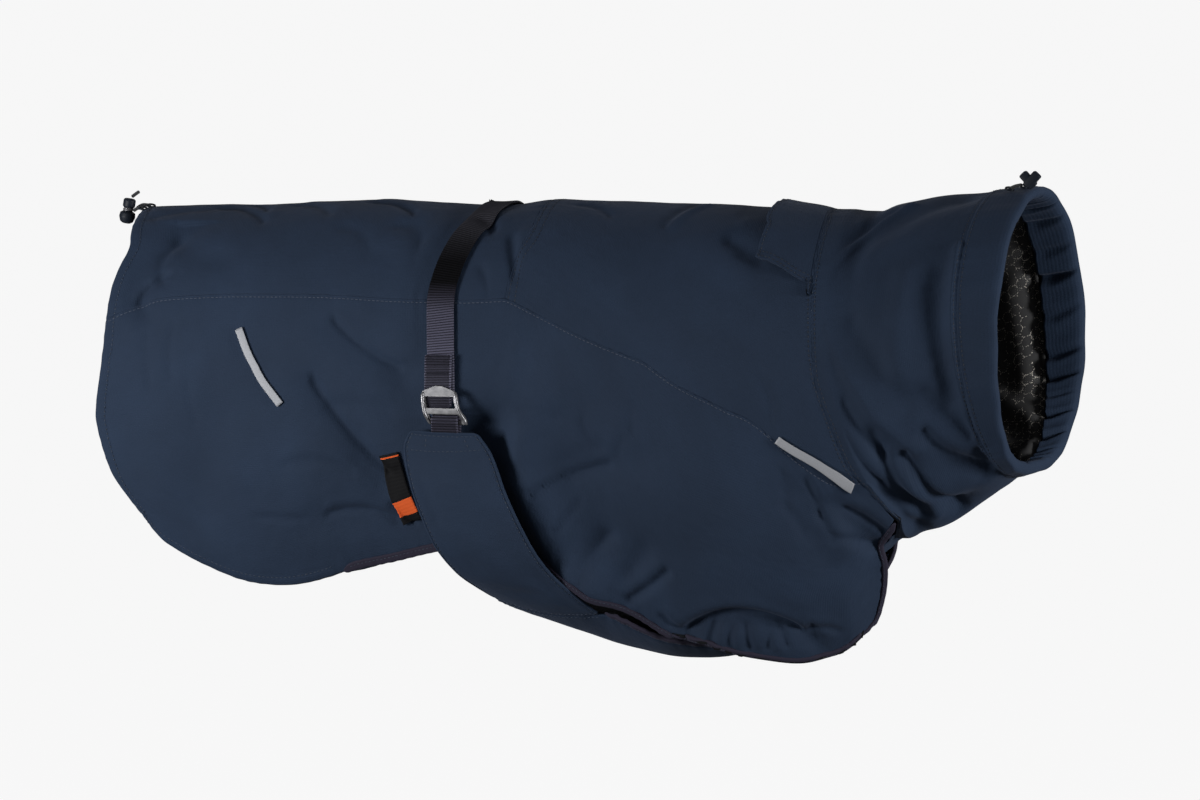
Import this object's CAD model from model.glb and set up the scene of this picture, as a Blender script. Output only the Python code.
"""Looks of the dog jacket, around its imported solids.

The tables and the functions of the body repeat those of the solids, in millimetres, at a finer
step: a place on the coat is (x, turn), where turn is the angle in degrees round the body from the
crest of the back, 90 at the widest point and 180 under the keel, negative on the dog's right.
"""

import math
from collections import namedtuple

import bpy
import numpy as np
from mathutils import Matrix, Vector


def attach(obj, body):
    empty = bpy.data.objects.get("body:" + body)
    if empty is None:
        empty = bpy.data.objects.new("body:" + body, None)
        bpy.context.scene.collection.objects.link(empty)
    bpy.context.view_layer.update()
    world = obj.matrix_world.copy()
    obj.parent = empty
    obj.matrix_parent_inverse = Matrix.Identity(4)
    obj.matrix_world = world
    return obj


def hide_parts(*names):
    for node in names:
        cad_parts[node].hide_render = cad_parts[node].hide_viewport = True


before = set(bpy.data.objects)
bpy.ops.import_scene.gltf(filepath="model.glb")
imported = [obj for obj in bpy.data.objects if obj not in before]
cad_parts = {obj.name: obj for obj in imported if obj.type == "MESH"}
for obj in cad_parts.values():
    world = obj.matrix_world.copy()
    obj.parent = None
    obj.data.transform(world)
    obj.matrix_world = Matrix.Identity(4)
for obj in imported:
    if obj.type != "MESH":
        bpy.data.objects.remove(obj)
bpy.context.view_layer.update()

MM = 0.001
TAU = 2 * math.pi


def table(kind, rows):
    return tuple(kind(*row) for row in rows)


# Cloth and trim, in mm; ON_PANEL and LABEL_OUT are how far trim lies out from a panel
WALL, LINING_WALL, LOOP_WALL, STRIP_WALL, LABEL_WALL = 2.2, 1.2, 1.2, 0.7, 0.8
WEBBING_WIDTH, WEBBING_WALL = 20.0, 1.6
STRIP_WIDTH, LABEL_WIDTH = 5.5, 15.0
SEAM_GAP, ON_PANEL, LABEL_OUT = 0.5, 0.9, 1.2

RIGHT, LEFT = -1, 1
SIDES = (("right", RIGHT), ("left", LEFT))

# The body that the coat is cut for: crest, widest and keel are heights, and a keenness over 1
# draws the lower half in to a keel.
Section = namedtuple("Section", "x crest widest keel half_width keenness")
BODY = table(Section, (
    (-440, -17, -104, -318, 84, 1.0), (-405, -6, -108, -318, 87, 1.0),
    (-325, -4, -112, -316, 89, 1.0), (-230, 1, -112, -300, 91, 1.0),
    (-150, -2, -108, -292, 90, 1.0), (-100, 3, -106, -305, 90, 1.0),
    (-40, 2, -104, -328, 90, 1.0), (20, 1, -103, -344, 90, 1.1), (80, -1, -102, -343, 89, 1.3),
    (115, -1, -101, -322, 88, 1.6), (140, -2, -101, -276, 87, 1.8), (170, 5, -100, -246, 87, 1.8),
))

# Edges on the right side, as (x, z)
TAIL_EDGE = ((-411, -20), (-407, -32), (-410, -45), (-413, -61), (-414, -83))
REAR_EDGE = ((-414, -83), (-416, -106), (-422, -145), (-421, -162), (-413, -190), (-402, -207))
REAR_CORNER = (-391, -221)
BACK_SEAM = ((-414, -83), (-389, -71), (-368, -66), (-322, -63), (-253, -62), (-193, -64),
             (-116, -62))
YOKE_SEAM = ((-116, -62), (-88, -74), (-53, -89), (0, -112), (42, -133), (74, -150), (136, -184))
YOKE_REAR = ((-108, -8), (-109, -20), (-115, -36), (-116, -61))
TAIL_TOP_X = -418
YOKE_TOP_X = -110
COLLAR_TOP_X = 96
COLLAR_SEAM = ((101, -9), (103, -24), (104, -43), (105, -57), (107, -78), (109, -106), (113, -124),
               (121, -147), (129, -170), (136, -184))
COLLAR_SEAM_END = ((136, -184), (141, -189), (157, -211))
# From the end of the collar seam to the centre of the chest, as (x, y, z)
COLLAR_THROAT = ((157, -47, -211), (150, -28, -222), (141, 0, -228))

# The free edges of a side panel, with how far the cloth stops inside the bound edge
HemPoint = namedtuple("HemPoint", "x z inset")
FRONT_HEM = table(HemPoint, (
    (157, -211, 5), (152, -222, 6.3), (145, -232, 6.3), (145, -240, 6.3), (141, -258, 6.3),
    (136, -272, 6.3), (129, -288, 6.3),
))
LOWER_HEM = table(HemPoint, (
    (-391, -221, 0), (-375, -241, 0), (-342, -259, 0), (-313, -268, 0), (-282, -269, 0),
    (-250, -261, 1), (-235, -256, 6.3), (-209, -250, 6.3), (-173, -241, 6.3), (-138, -236, 6.3),
    (-111, -240, 6.3), (-88, -250, 6.3), (-55, -270, 6.3), (-27, -285, 6.3), (0, -301, 6.3),
    (18, -304, 6.3), (42, -310, 6.3), (76, -315, 6.3), (96, -313, 6.3), (114, -305, 6.3),
    (129, -288, 6.3),
))
BINDING_START_X = -246

# Creases and swells of the body panels on the right side. bow is how far the middle of a fold
# stands above its chord, and a height over 0 is a swell.
Fold = namedtuple("Fold", "x0 z0 x1 z1 bow width height")
FOLDS = table(Fold, (
    (-255, -126, -205, -188, 0, 13, -4.5), (-242, -84, -190, -116, 0, 12, -3.0),
    (-372, -22, -391, -69, 8, 13, -4.5), (-262, -222, -190, -222, 5, 12, -2.5),
    (-120, -160, -80, -236, 0, 22, -15.0), (-60, -140, 60, -230, 0, 50, 4.0),
    (-70, -182, -20, -172, 0, 14, -3.0), (8, -294, 92, -296, 12, 9, -6.0),
    (120, -202, 140, -228, 0, 9, -5.0), (95, -195, 112, -240, 0, 12, -3.0),
    (-330, -150, -350, -215, 0, 20, -2.5), (-40, -262, -18, -236, 0, 9, -2.5),
    (-64, -246, -48, -226, 0, 9, -2.5),
))


def left_folds(folds, start, stop, share):
    """The left side creases in like manner, a little elsewhere and a little less."""
    return tuple(
        fold._replace(x0=fold.x0 + start[0], z0=fold.z0 + start[1], x1=fold.x1 + stop[0],
                      z1=fold.z1 + stop[1], height=fold.height * share)
        for fold in folds)


LEFT_FOLDS = left_folds(FOLDS, (9, -7), (9, -7), 0.85)
# The left front lobe hangs this much further back at its lower front corner.
LEFT_LOBE_SETBACK = 22.0
LOBE_SETBACK_START_X, LOBE_SETBACK_START_Z = 20.0, -200.0

# Rings of the collar: its top and bottom points, its half width, how far its sides lie behind
# the line from top to bottom, how far it has left the seam's own outline, and how full its lower
# corners are, from 1 for a plain ellipse downwards.
Ring = namedtuple("Ring", "top_x top_z bottom_x bottom_z half_width back blend fullness")
COLLAR = table(Ring, (
    (109, 0, 147, -228, 90, 14, 0.35, 1.0), (120, -2, 153, -225, 89, 13, 0.7, 1.0),
    (131, -2, 162, -222, 89, 11, 0.92, 1.0), (144, 3, 172, -220, 90, 10, 1.0, 1.0),
    (158, 6, 182, -216, 90, 8, 1.0, 1.0), (172, 9, 192, -210, 90, 7, 1.0, 0.97),
    (186, 11, 203, -202, 89, 6, 1.0, 0.94), (200, 12, 217, -192, 89, 5, 1.0, 0.9),
    (210, 13, 227, -184, 89, 5, 1.0, 0.88), (214, 14, 231, -183, 89, 5, 1.0, 0.86),
))
RIM = Ring(246, 18, 243, -180, 91, 0, 1.0, 0.62)
# The neck turns a little to the dog's right, so its left side reaches further forward.
NECK_TURN = math.radians(3.6)
# Folds of the collar: where they run as (share of the way along, angle from the top) at both ends
CollarFold = namedtuple("CollarFold", "along0 angle0 along1 angle1 width height")
COLLAR_FOLDS = table(CollarFold, (
    (0.22, 138, 0.62, 165, 13, -8.0), (0.10, 142, 0.30, 166, 11, -7.0),
    (0.45, 118, 0.85, 152, 12, -5.0), (0.10, 48, 0.75, 12, 14, -4.0),
    (0.15, 82, 0.90, 122, 16, -3.0), (0.80, 60, 0.84, 112, 9, -2.5),
))

# The rim band goes forward from its seam, turns in at the rim and comes back inside as a
# gathered facing: along is 0 at the seam and 1 at the rim, depth is inwards from the outside.
BandPoint = namedtuple("BandPoint", "along depth gather")
BAND = table(BandPoint, (
    (0.0, 0.0, 0.0), (0.5, 0.0, 0.0), (0.9, 0.6, 0.1), (1.0, 4.4, 0.2), (0.9, 8.4, 0.5),
    (0.5, 9.6, 0.8), (0.06, 10.0, 1.0),
))
LINING_DEPTH = 3.4
LINING_FIRST_RING = 3

# A belly wing, from its top edge to its seam with the belly panel: rear and front edge
WingRow = namedtuple("WingRow", "rear_x rear_y rear_z front_x front_y front_z bow")
WING = table(WingRow, (
    (-181, -96, -155, -132, -96, -156, 1), (-185, -97, -168, -121, -97, -171, 2),
    (-180, -97, -194, -111, -98, -196, 4), (-172, -93, -219, -101, -94, -220, 4),
    (-165, -86, -238, -92, -87, -240, 5), (-155, -73, -255, -82, -78, -256, 5),
    (-146, -57, -266, -68, -68, -271, 5), (-137, -42, -275, -57, -54, -283, 5),
))
# The belly panel, from its rear edge forward to the chest
BellyRow = namedtuple("BellyRow", "x half_width edge_z centre_z")
BELLY = table(BellyRow, (
    (-137, 42, -275, -283), (-110, 47, -279, -291), (-57, 54, -283, -307), (-8, 41, -302, -316),
    (24, 22, -306, -313), (66, 13, -296, -299), (106, 10, -266, -268), (130, 10, -239, -241),
))
CHEST_END_HALF_WIDTH = 24.0
CHEST_END_BACK = Vector((0.6, 0.0, 0.0))

# Strap over the back, as (x, z) of its centre line, and what hangs on it
STRAP_LINE = ((-150, -26), (-157, -47), (-162, -61), (-160, -84), (-159, -102), (-160, -137))
STRAP_TOP_X = -147
# The buckle is a bent plate: half its width at each height, and how far it is shifted forward
# and towards the body there.
BuckleRow = namedtuple("BuckleRow", "height half_width shift depth")
BUCKLE = table(BuckleRow, (
    (13.0, 2.6, -1.0, 1.7), (8.6, 12.4, -0.6, 1.5), (5.6, 13.2, -0.3, 1.2),
    (-2.4, 13.6, 1.0, 0.9), (-6.6, 14.2, 2.6, 1.2), (-10.8, 14.4, 4.4, 3.4),
    (-13.8, 13.6, 5.6, 3.8),
))
SLOT_WIDTH = 22.4
BUCKLE_CENTRE = (-159.0, -98.6, -136.0)
BUCKLE_WALL = 2.0
# The webbing loop of a wing, as (y, z) of its inner face on the right side
LOOP_PATH = ((-94.8, -155.2), (-95.4, -150), (-95.6, -147.4), (-94.6, -145.6), (-93.6, -145.2),
             (-92.6, -145.7), (-92.0, -147.4), (-91.8, -150), (-92.6, -155.2))
LOOP_X = -155.4

# Harness flap, as (x, z) along its rear edge and its lower edge, which is stitched down
FLAP_REAR = ((60, -9), (63, -14), (62, -25), (61, -33))
FLAP_LOWER = ((61, -33), (77, -38), (92, -45), (103, -49))
FLAP_TOP_X = 59
FLAP_LIFT_REAR = 3.0

# Reflective strips, as (x, z) of their centre lines
STRIPS = (("rear", ((-312, -87), (-299, -112), (-280, -139))),
          ("front", ((83, -155), (107, -169.5), (121, -179), (132, -188))))
# Label sewn in under the rear edge of the right wing, as (x, z)
LABEL_LINE = ((-201, -172), (-196, -196), (-188, -220))

# Drawcord hardware: centres of the two locks and what is on them
TAIL_LOCK = Vector((-428.0, -7.0, -9.0))
TAIL_LOCK_TILT = math.radians(10.0)
TAIL_LOCK_PROFILE = ((0, 8.2), (3.4, 8.2), (4.4, 7.2), (4.4, 2.6), (3.0, 1.2), (3.0, -0.6),
                     (5.4, -2.0), (5.8, -5.0), (4.6, -8.4), (2.6, -9.6), (0, -9.6))
NECK_LOCK = Vector((244.0, -24.0, 20.8))
NECK_LOCK_ARM = (12.5, 5.2, 6.4)
NECK_LOCK_RISE = 2.0
NECK_LOCK_SPREAD = math.radians(43.0)
DRAWCORD = 2.4
TAIL_CORDS = (
    ("tail_cord_right", ((-423.2, -8.5, -9.5), (-419, -11, -7.5), (-413.5, -14.5, -7.3))),
    ("tail_cord_left", ((-423.2, -3.5, -8.0), (-419, -1.5, -5.5), (-413.5, 0.5, -6.0))),
)
TAIL_CORD_END = ((-425.6, -6.2, 0.2), (-423.0, -5.4, 2.3), (-420.2, -4.8, 4.2))
NECK_CORDS = (
    ("neck_cord_right", ((238.0, -23.4, 18.9), (232.0, -20.0, 17.6), (227.5, -17.0, 15.8))),
    ("neck_cord_left", ((244.0, -20.2, 20.8), (240.3, -15.4, 19.6), (236.5, -12.0, 17.4))),
)

# Fine grids, and how far in from an edge its stitches run
CELL = 2.3
EDGE_STEPS = (0.0, 0.5, 1.1, 1.8, 2.6, 3.5, 4.6, 6.0)
STITCH_IN, HEM_IN = 2.4, 8.0
TWIN_ROW = 3.2  # a second row of stitches runs this many times as far in

# Smaller creases of the right side, over the main folds
CREASES = table(Fold, (
    (-391, -69, -372, -50, 2, 2.6, -2.6), (-376, -54, -371, -24, 5, 4.5, -1.6),
    (-383, -92, -380, -131, 0, 3.5, -1.0), (-362, -86, -364, -123, 2, 3.5, -1.0),
    (-352, -125, -346, -154, 0, 3, -0.8), (-242, -79, -192, -111, -3.5, 2.5, -2.2),
    (-257, -122, -203, -184, -3.5, 2.8, -3.4), (-250, -217, -200, -219, 5, 2.7, -2.6),
    (-303, -220, -270, -221, 0, 2.6, -1.3), (-279, -182, -230, -186, 5.5, 3, -1.4),
    (-201, -209, -188, -221, 0, 2.6, -2.2), (-246, -141, -201, -141, 3, 4, -0.9),
    (-96, -197, -40, -176, 2, 2.6, -2.8), (-82, -223, -64, -203, -1, 2.4, -1.5),
    (-65, -254, -44, -227, 2, 4, -2.0), (-33, -271, -3, -251, -1, 3.2, -4.2),
    (-9, -282, 1, -292, 0, 2.6, -2.2), (7, -291, 86, -291, 13, 3, -4.4),
    (92, -291, 110, -290, 2, 2.6, -2.0), (22, -300, 27, -288, 0, 2.6, -2.2),
    (37, -302, 40, -290, 1, 2.4, -1.8), (50, -303, 49, -289, 0, 2.8, -2.4),
    (63, -302, 66, -290, 0, 2.4, -1.8), (76, -301, 73, -291, 0, 2.6, -2.2),
    (98, -296, 95, -286, 0, 2.4, -1.6), (128, -204, 147, -220, 1, 3, -3.2),
    (119, -224, 140, -232, 1, 3, -2.4), (85, -178, 86, -202, 1, 4, -1.4),
    (86, -202, 97, -221, 1, 3.5, -1.4), (102, -184, 109, -208, 1, 3, -2.0),
    (109, -208, 116, -227, 1, 3, -1.8), (71, -115, 78, -140, 3, 4, -1.0),
    (-34, -123, -19, -131, 2, 3.5, 0.9), (-19, -131, -21, -151, 2, 3.5, -0.9),
    (-21, -151, -33, -166, 2, 3.5, -0.9), (-58, -144, -46, -164, -3, 3.5, -1.0),
    (-103, -141, -78, -144, 1, 4, -1.0), (-112, -126, -102, -88, 1, 6, 1.0),
    (-104, -160, -58, -262, 0, 17, 13.0), (-113, -176, -76, -252, 0, 13, 9.0),
    (-109, -194, -87, -250, 0, 12, 7.5),
))
# Creases over the back, as (x, y) seen from above
BACK_CREASES = table(Fold, (
    (-398, -30, -352, -14, 3, 5, -1.5), (-372, -52, -330, -66, -4, 6, -1.6),
    (-354, -10, -313, -37, 3, 4, -1.6), (-295, -12, -266, -31, 3, 5, -1.4),
    (-240, -12, -202, -32, 4, 4, -1.8), (-329, -10, -315, -22, 1, 3, -1.3),
    (-248, -47, -225, -63, 3, 5, -1.4), (-218, -66, -207, -69, 0, 4, -1.0),
    (-204, -44, -189, -56, 3, 7, -2.4), (-139, -71, -131, -80, 1, 3, -1.6),
    (-121, -56, -113, -73, 0, 4, -3.0), (-150, -37, -138, -46, 1, 5, -2.6),
    (-83, -19, -56, -34, 2, 4, -1.3), (-7, -46, 9, -10, 2, 3, 1.7),
    (38, -54, 62, -64, 0, 6, -2.8), (-380, 34, -344, 50, 4, 6, -1.4),
    (-352, 12, -318, 30, 3, 4, -1.4), (-300, 14, -262, 36, 3, 4, -1.4),
    (-236, 40, -222, 74, 2, 4, -1.5), (-200, 48, -186, 58, 3, 6, -2.0),
    (-112, 20, -80, 34, 3, 4, -1.2), (-40, 30, 6, 52, 4, 5, -1.2), (52, 56, 70, 66, 0, 6, -2.0),
))
CREASE_SWELL = 0.30  # a crease's height on its one side, as a share of its depth
LEFT_CREASES = left_folds(CREASES, (12, -9), (7, -5), 0.9)


# Numbers along tables and curves


def at_row(rows, column, place):
    """The values of a column at these places along the rows, on a smooth curve that never
    overshoots."""
    xs = np.array([row[0] for row in rows], float)
    ys = np.array([getattr(row, column) for row in rows], float)
    rises = np.diff(ys) / np.diff(xs)
    product = rises[:-1] * rises[1:]
    total = np.where(product > 0, rises[:-1] + rises[1:], 1.0)
    inner = np.where(product > 0, 2 * product / total, 0.0)
    slopes = np.concatenate(([rises[0]], inner, [rises[-1]]))
    place = np.clip(np.asarray(place, float), xs[0], xs[-1])
    i = np.clip(np.searchsorted(xs[1:], place), 0, len(xs) - 2)
    step = xs[i + 1] - xs[i]
    t = (place - xs[i]) / step
    return ((2 * t**3 - 3 * t**2 + 1) * ys[i] + (t**3 - 2 * t**2 + t) * slopes[i] * step
            + (3 * t**2 - 2 * t**3) * ys[i + 1] + (t**3 - t**2) * slopes[i + 1] * step)


KNOT_SAMPLES = 24  # points of a smooth line for each of its knots


def smooth_line(knots):
    """A fine line through the knots."""
    knots = np.array(knots, float)
    knots = np.vstack((2 * knots[0] - knots[1], knots, 2 * knots[-1] - knots[-2]))
    t = (np.arange(KNOT_SAMPLES) / KNOT_SAMPLES)[:, None]
    parts = [
        0.5 * (2 * q + (r - p) * t + (2 * p - 5 * q + 4 * r - s) * t**2
               + (3 * q - p - 3 * r + s) * t**3)
        for p, q, r, s in zip(knots, knots[1:], knots[2:], knots[3:])]
    return np.vstack(parts + [knots[-2:-1]])


def lengths_of(line):
    """The distance along a line at each of its points."""
    return np.concatenate(([0.0], np.cumsum(np.linalg.norm(np.diff(line, axis=0), axis=1))))


def resampled_with(line, values, shares):
    """Values along a line, at shares of its length."""
    place = lengths_of(line)
    goal = np.asarray(shares) * place[-1]
    return np.stack([np.interp(goal, place, column) for column in values.T], axis=1)


def resample(line, shares):
    return resampled_with(line, line, shares)


def spline(knots, shares):
    return resample(smooth_line(knots), shares)


def even(count):
    return np.linspace(0.0, 1.0, count)


def graded(length, cell=CELL, start=True, stop=True):
    """Shares from 0 to 1 for a line of this length, closer together towards its ends."""
    near = np.array(EDGE_STEPS)
    low = near if start else near[:1]
    high = length - (near if stop else near[:1])[::-1]
    cells = max(int(round((high[0] - low[-1]) / cell)), 1)
    middle = np.linspace(low[-1], high[0], cells + 1)[1:-1]
    return np.concatenate((low, middle, high)) / length


def unit(vectors):
    return vectors / np.maximum(np.linalg.norm(vectors, axis=-1, keepdims=True), 1e-12)


# The body, as the solids have it


def turn_at(x, z):
    crest, widest, keel = (at_row(BODY, column, x) for column in ("crest", "widest", "keel"))
    reach = np.where(z > widest, (z - widest) / (crest - widest), (z - widest) / (widest - keel))
    return np.degrees(np.arccos(np.clip(reach, -1.0, 1.0)))


def body(x, turn):
    crest, widest, keel, half_width, keenness = (
        at_row(BODY, column, x) for column in Section._fields[1:])
    angle = np.radians(np.abs(turn))
    low = np.cos(angle) < 0
    out = half_width * np.maximum(np.sin(angle), 0.0) ** np.where(low, keenness, 1.0)
    z = widest + np.cos(angle) * np.where(low, widest - keel, crest - widest)
    return np.stack((x + 0.0 * z, np.copysign(out, turn), z), axis=-1)


def body_normal(x, turn):
    along = body(x + 2.0, turn) - body(x - 2.0, turn)
    middle = np.clip(turn, -178.0, 178.0)
    round_it = body(x, middle + 1.0) - body(x, middle - 1.0)
    return unit(np.cross(along, round_it))


def ridge(x, z, ends, width, bow=0.0, swell=0.0):
    """A fold of height 1 from end to end, with a swell the other way on its one side."""
    x0, z0, x1, z1 = ends
    chord_x, chord_z = x1 - x0, z1 - z0
    length = np.hypot(chord_x, chord_z)
    share = ((x - x0) * chord_x + (z - z0) * chord_z) / length**2
    off = ((z - z0) * chord_x - (x - x0) * chord_z) / length
    off = off - bow * (1.0 - (2.0 * share - 1.0) ** 2) * (1 if chord_x >= 0 else -1)
    past = np.maximum(np.maximum(-share, share - 1.0), 0.0) * length
    profile = np.exp(-(off / width) ** 2)
    if swell:
        profile = profile - swell * np.exp(-((off / width - 2.5) / 1.6) ** 2)
    return profile * np.exp(-(past / width) ** 2)


def fold_height(folds, x, z, swell=0.0):
    total = np.zeros(np.shape(x))
    for fold in folds:
        total += fold.height * ridge(x, z, fold[:4], fold.width, fold.bow, swell)
    return total


def undulation(x, around, scale=60.0):
    """A slow unevenness of about 1, the same each run."""
    u, v = x / scale, around / scale
    return (np.sin(2.1 * u + 1.3 * np.sin(1.7 * v)) * np.cos(1.9 * v + 0.8 * np.sin(1.1 * u + 2.0))
            + 0.5 * np.sin(4.3 * u - 3.1 * v + 0.7) * np.sin(3.7 * v + 1.9 * u)) / 1.4


def skin(x, turn, out=0.0):
    """The cloth's outer face at these places of the body, moved out by this much, in mm."""
    x, turn = np.asarray(x, float), np.asarray(turn, float)
    point = body(x, turn)
    z, right, off_crest = point[..., 2], turn < 0, np.abs(turn)
    lift = np.where(right, fold_height(FOLDS, x, z), fold_height(LEFT_FOLDS, x, z))
    lift = np.where(off_crest > 25.0, lift, 0.0)
    small = np.where(right, fold_height(CREASES, x, z, CREASE_SWELL),
                     fold_height(LEFT_CREASES, x, z, CREASE_SWELL))
    lift = lift + small * np.clip((off_crest - 25.0) / 15.0, 0.0, 1.0)
    lift = lift + fold_height(BACK_CREASES, x, point[..., 1], CREASE_SWELL) * np.clip(
        (80.0 - off_crest) / 25.0, 0.0, 1.0)
    lift = lift + 0.55 * undulation(x, turn * 1.5) * np.clip(off_crest / 30.0, 0.35, 1.0)
    lift = lift + 0.26 * undulation(x, turn * 1.5, 21.0)
    point = point + body_normal(x, turn) * (lift + out)[..., None]
    forward = np.clip((x - LOBE_SETBACK_START_X) / 110.0, 0.0, 1.0)
    down = np.clip((LOBE_SETBACK_START_Z - z) / 80.0, 0.0, 1.0)
    point[..., 0] -= np.where(right, 0.0, LEFT_LOBE_SETBACK * forward * down)
    return point


def on_skin(places, out=0.0):
    return skin(places[..., 0], places[..., 1], out)


def normals_at(places):
    return body_normal(places[..., 0], places[..., 1])


# Edges of the panels, as (x, turn) on the right side


def edge(knots, shares, top_x=None):
    places = [] if top_x is None else [(top_x, 0.0)]
    places += [(x, -float(turn_at(x, z))) for x, z in knots]
    return spline(places, shares)


BOUND_OUTLINE = LOWER_HEM + FRONT_HEM[-2::-1]
CORNER = len(LOWER_HEM) - 1


def bound_edge(inset_share):
    """A fine line along the free edge, under the lobes and up the front to the collar, moved in
    by this share of each row's inset, and the share of its length at the lower front corner."""
    line = smooth_line([(row.x, row.z, row.inset) for row in BOUND_OUTLINE])
    turn = -turn_at(line[:, 0], line[:, 1])
    points = body(line[:, 0], turn)
    tangent = unit(np.gradient(points, axis=0))
    inward = unit(np.cross(body_normal(line[:, 0], turn), tangent))
    moved = points + inward * (line[:, 2] * inset_share)[:, None]
    places = np.stack((moved[:, 0], -turn_at(moved[:, 0], moved[:, 2])), axis=1)
    place = lengths_of(places)
    return places, place[CORNER * KNOT_SAMPLES] / place[-1]


def patch(top, bottom, start, end, u, v):
    """(x, turn) places that fill four edges: top to bottom, start to end."""
    u, v = np.asarray(u)[None, :, None], np.asarray(v)[:, None, None]
    down = v[:, 0]
    start = start + (1 - down) * (top[0] - start[0]) + down * (bottom[0] - start[-1])
    end = end + (1 - down) * (top[-1] - end[0]) + down * (bottom[-1] - end[-1])
    return ((1 - v) * top[None] + v * bottom[None] + (1 - u) * start[:, None] + u * end[:, None]
            - (1 - u) * (1 - v) * top[0] - u * (1 - v) * top[-1]
            - (1 - u) * v * bottom[0] - u * v * bottom[-1])


def mirrored(line):
    return line * np.array((1.0, -1.0))


def on_side(places, side):
    return mirrored(places) if side == LEFT else places


def mirrored_points(points, side):
    return points * np.array((1.0, -side, 1.0))


def across_crest(half):
    return np.vstack((half[::-1], mirrored(half[1:])))


# Grids of points


def grid_normals(grid, flip=False, ring=False):
    """Unit normals of a grid: row direction cross column direction, or the other way."""
    across = np.gradient(grid, axis=1)
    if ring:
        across = (np.roll(grid, -1, axis=1) - np.roll(grid, 1, axis=1)) / 2
    return unit(np.cross(np.gradient(grid, axis=0), across)) * (-1 if flip else 1)


def distances(grid, side):
    """How far each point of the grid lies from one of its sides: top, bottom, start or end."""
    axis = 0 if side in ("top", "bottom") else 1
    steps = np.linalg.norm(np.diff(grid, axis=axis), axis=2)
    if side in ("bottom", "end"):
        steps = np.flip(steps, axis)
    total = np.cumsum(steps, axis=axis)
    total = np.concatenate((np.zeros_like(np.take(total, [0], axis)), total), axis=axis)
    return np.flip(total, axis) if side in ("bottom", "end") else total


def positions(grid, side):
    """How far along one of its sides each point of the grid lies."""
    line = {"top": grid[0], "bottom": grid[-1], "start": grid[:, 0], "end": grid[:, -1]}[side]
    place = lengths_of(line)
    return np.broadcast_to(place[None, :] if side in ("top", "bottom") else place[:, None],
                           grid.shape[:2])


def pucker(d, s, size, pitch=11.0):
    """Small gathers that fade out from a seam: d is the distance from it, s the place along it."""
    wave = np.sin(TAU * s / pitch + 1.4 * np.sin(TAU * s / (4.3 * pitch)))
    return size * wave * (0.6 + 0.4 * np.sin(TAU * s / (7.1 * pitch) + 1.0)) * np.exp(-d / 8.0)


DEEPEST_EDGE = -1.2
# How an edge is treated: its dip and the dip's width, the swell beside it, the dent of its
# stitches and how far in that is, and its gathers
EdgeKind = namedtuple("EdgeKind", "dip width swell dent inside gather")
EDGE_KINDS = {
    "seam": EdgeKind(-0.10, 0.7, 0.06, 0.0, 3.0, 0.30),
    "sewn": EdgeKind(-0.12, 0.7, 0.08, -0.16, STITCH_IN, 0.42),
    "twin": EdgeKind(-0.15, 0.7, 0.10, -0.18, STITCH_IN, 0.30),
    "hem": EdgeKind(-1.1, 0.9, 0.45, -0.40, HEM_IN, 0.35),
    "bound": EdgeKind(-0.5, 1.2, 0.10, 0.0, 3.0, 0.55),
    "trim": EdgeKind(-0.7, 0.8, 0.15, -0.25, 2.0, 0.15),
}


def dressed(grid, kinds, normals):
    """The grid with its edges turned in, sewn down and puckered: kinds are (side, kind) or
    (side, kind, share)."""
    lift = np.zeros(grid.shape[:2])
    for side, name, *share in kinds:
        kind, d = EDGE_KINDS[name], distances(grid, side)
        one = (kind.dip * np.exp(-(d / kind.width) ** 2)
               + kind.swell * np.exp(-((d - 5.0) / 2.6) ** 2))
        for times in (1.0, TWIN_ROW) if name == "twin" else (1.0,):
            one += kind.dent * np.exp(-((d - times * kind.inside) / 0.8) ** 2)
        one += pucker(d, positions(grid, side), kind.gather)
        lift += one * (share[0] if share else 1.0)
    return grid + normals * np.maximum(lift, DEEPEST_EDGE)[..., None]


def inside_line(grid, side, inset, flip=False, ring=False):
    """Points and normals along a side of the grid, this far inside it."""
    normals = grid_normals(grid, flip, ring)
    if side in ("start", "end"):
        grid, normals = grid.transpose(1, 0, 2), normals.transpose(1, 0, 2)
        side = {"start": "top", "end": "bottom"}[side]
    d = distances(grid, side)
    if side == "bottom":
        grid, normals, d = grid[::-1], normals[::-1], d[::-1]
    points, ups = (
        np.array([[np.interp(inset, d[:, column], values[:, column, c]) for c in range(3)]
                  for column in range(grid.shape[1])]) for values in (grid, normals))
    ups = unit(ups)
    if ring:
        points, ups = np.vstack((points, points[:1])), np.vstack((ups, ups[:1]))
    return points, ups


def inside_lines(grid, sides, inset, flip=False, ring=False):
    return [inside_line(grid, side, inset, flip, ring) for side in sides.split()]


# Meshes


def new_mesh(name, points, faces, uv=None):
    """A mesh from points in mm and equal-sized faces, with one (u, v) in mm for each corner."""
    faces = np.asarray(faces)
    mesh = bpy.data.meshes.new(name)
    mesh.vertices.add(len(points))
    mesh.vertices.foreach_set("co", (np.asarray(points) * MM).astype(np.float32).ravel())
    mesh.loops.add(faces.size)
    mesh.loops.foreach_set("vertex_index", faces.astype(np.int32).ravel())
    mesh.polygons.add(len(faces))
    starts = np.arange(len(faces), dtype=np.int32) * faces.shape[1]
    mesh.polygons.foreach_set("loop_start", starts)
    if uv is not None:
        layer = mesh.uv_layers.new(name="cut")
        layer.data.foreach_set("uv", (np.asarray(uv) * MM).astype(np.float32).ravel())
    mesh.update(calc_edges=True)
    mesh.validate()
    mesh.shade_smooth()
    return mesh


def new_object(name, mesh, *materials):
    obj = bpy.data.objects.new(name, mesh)
    bpy.context.scene.collection.objects.link(obj)
    for material in materials:
        mesh.materials.append(material)
    return obj


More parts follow.
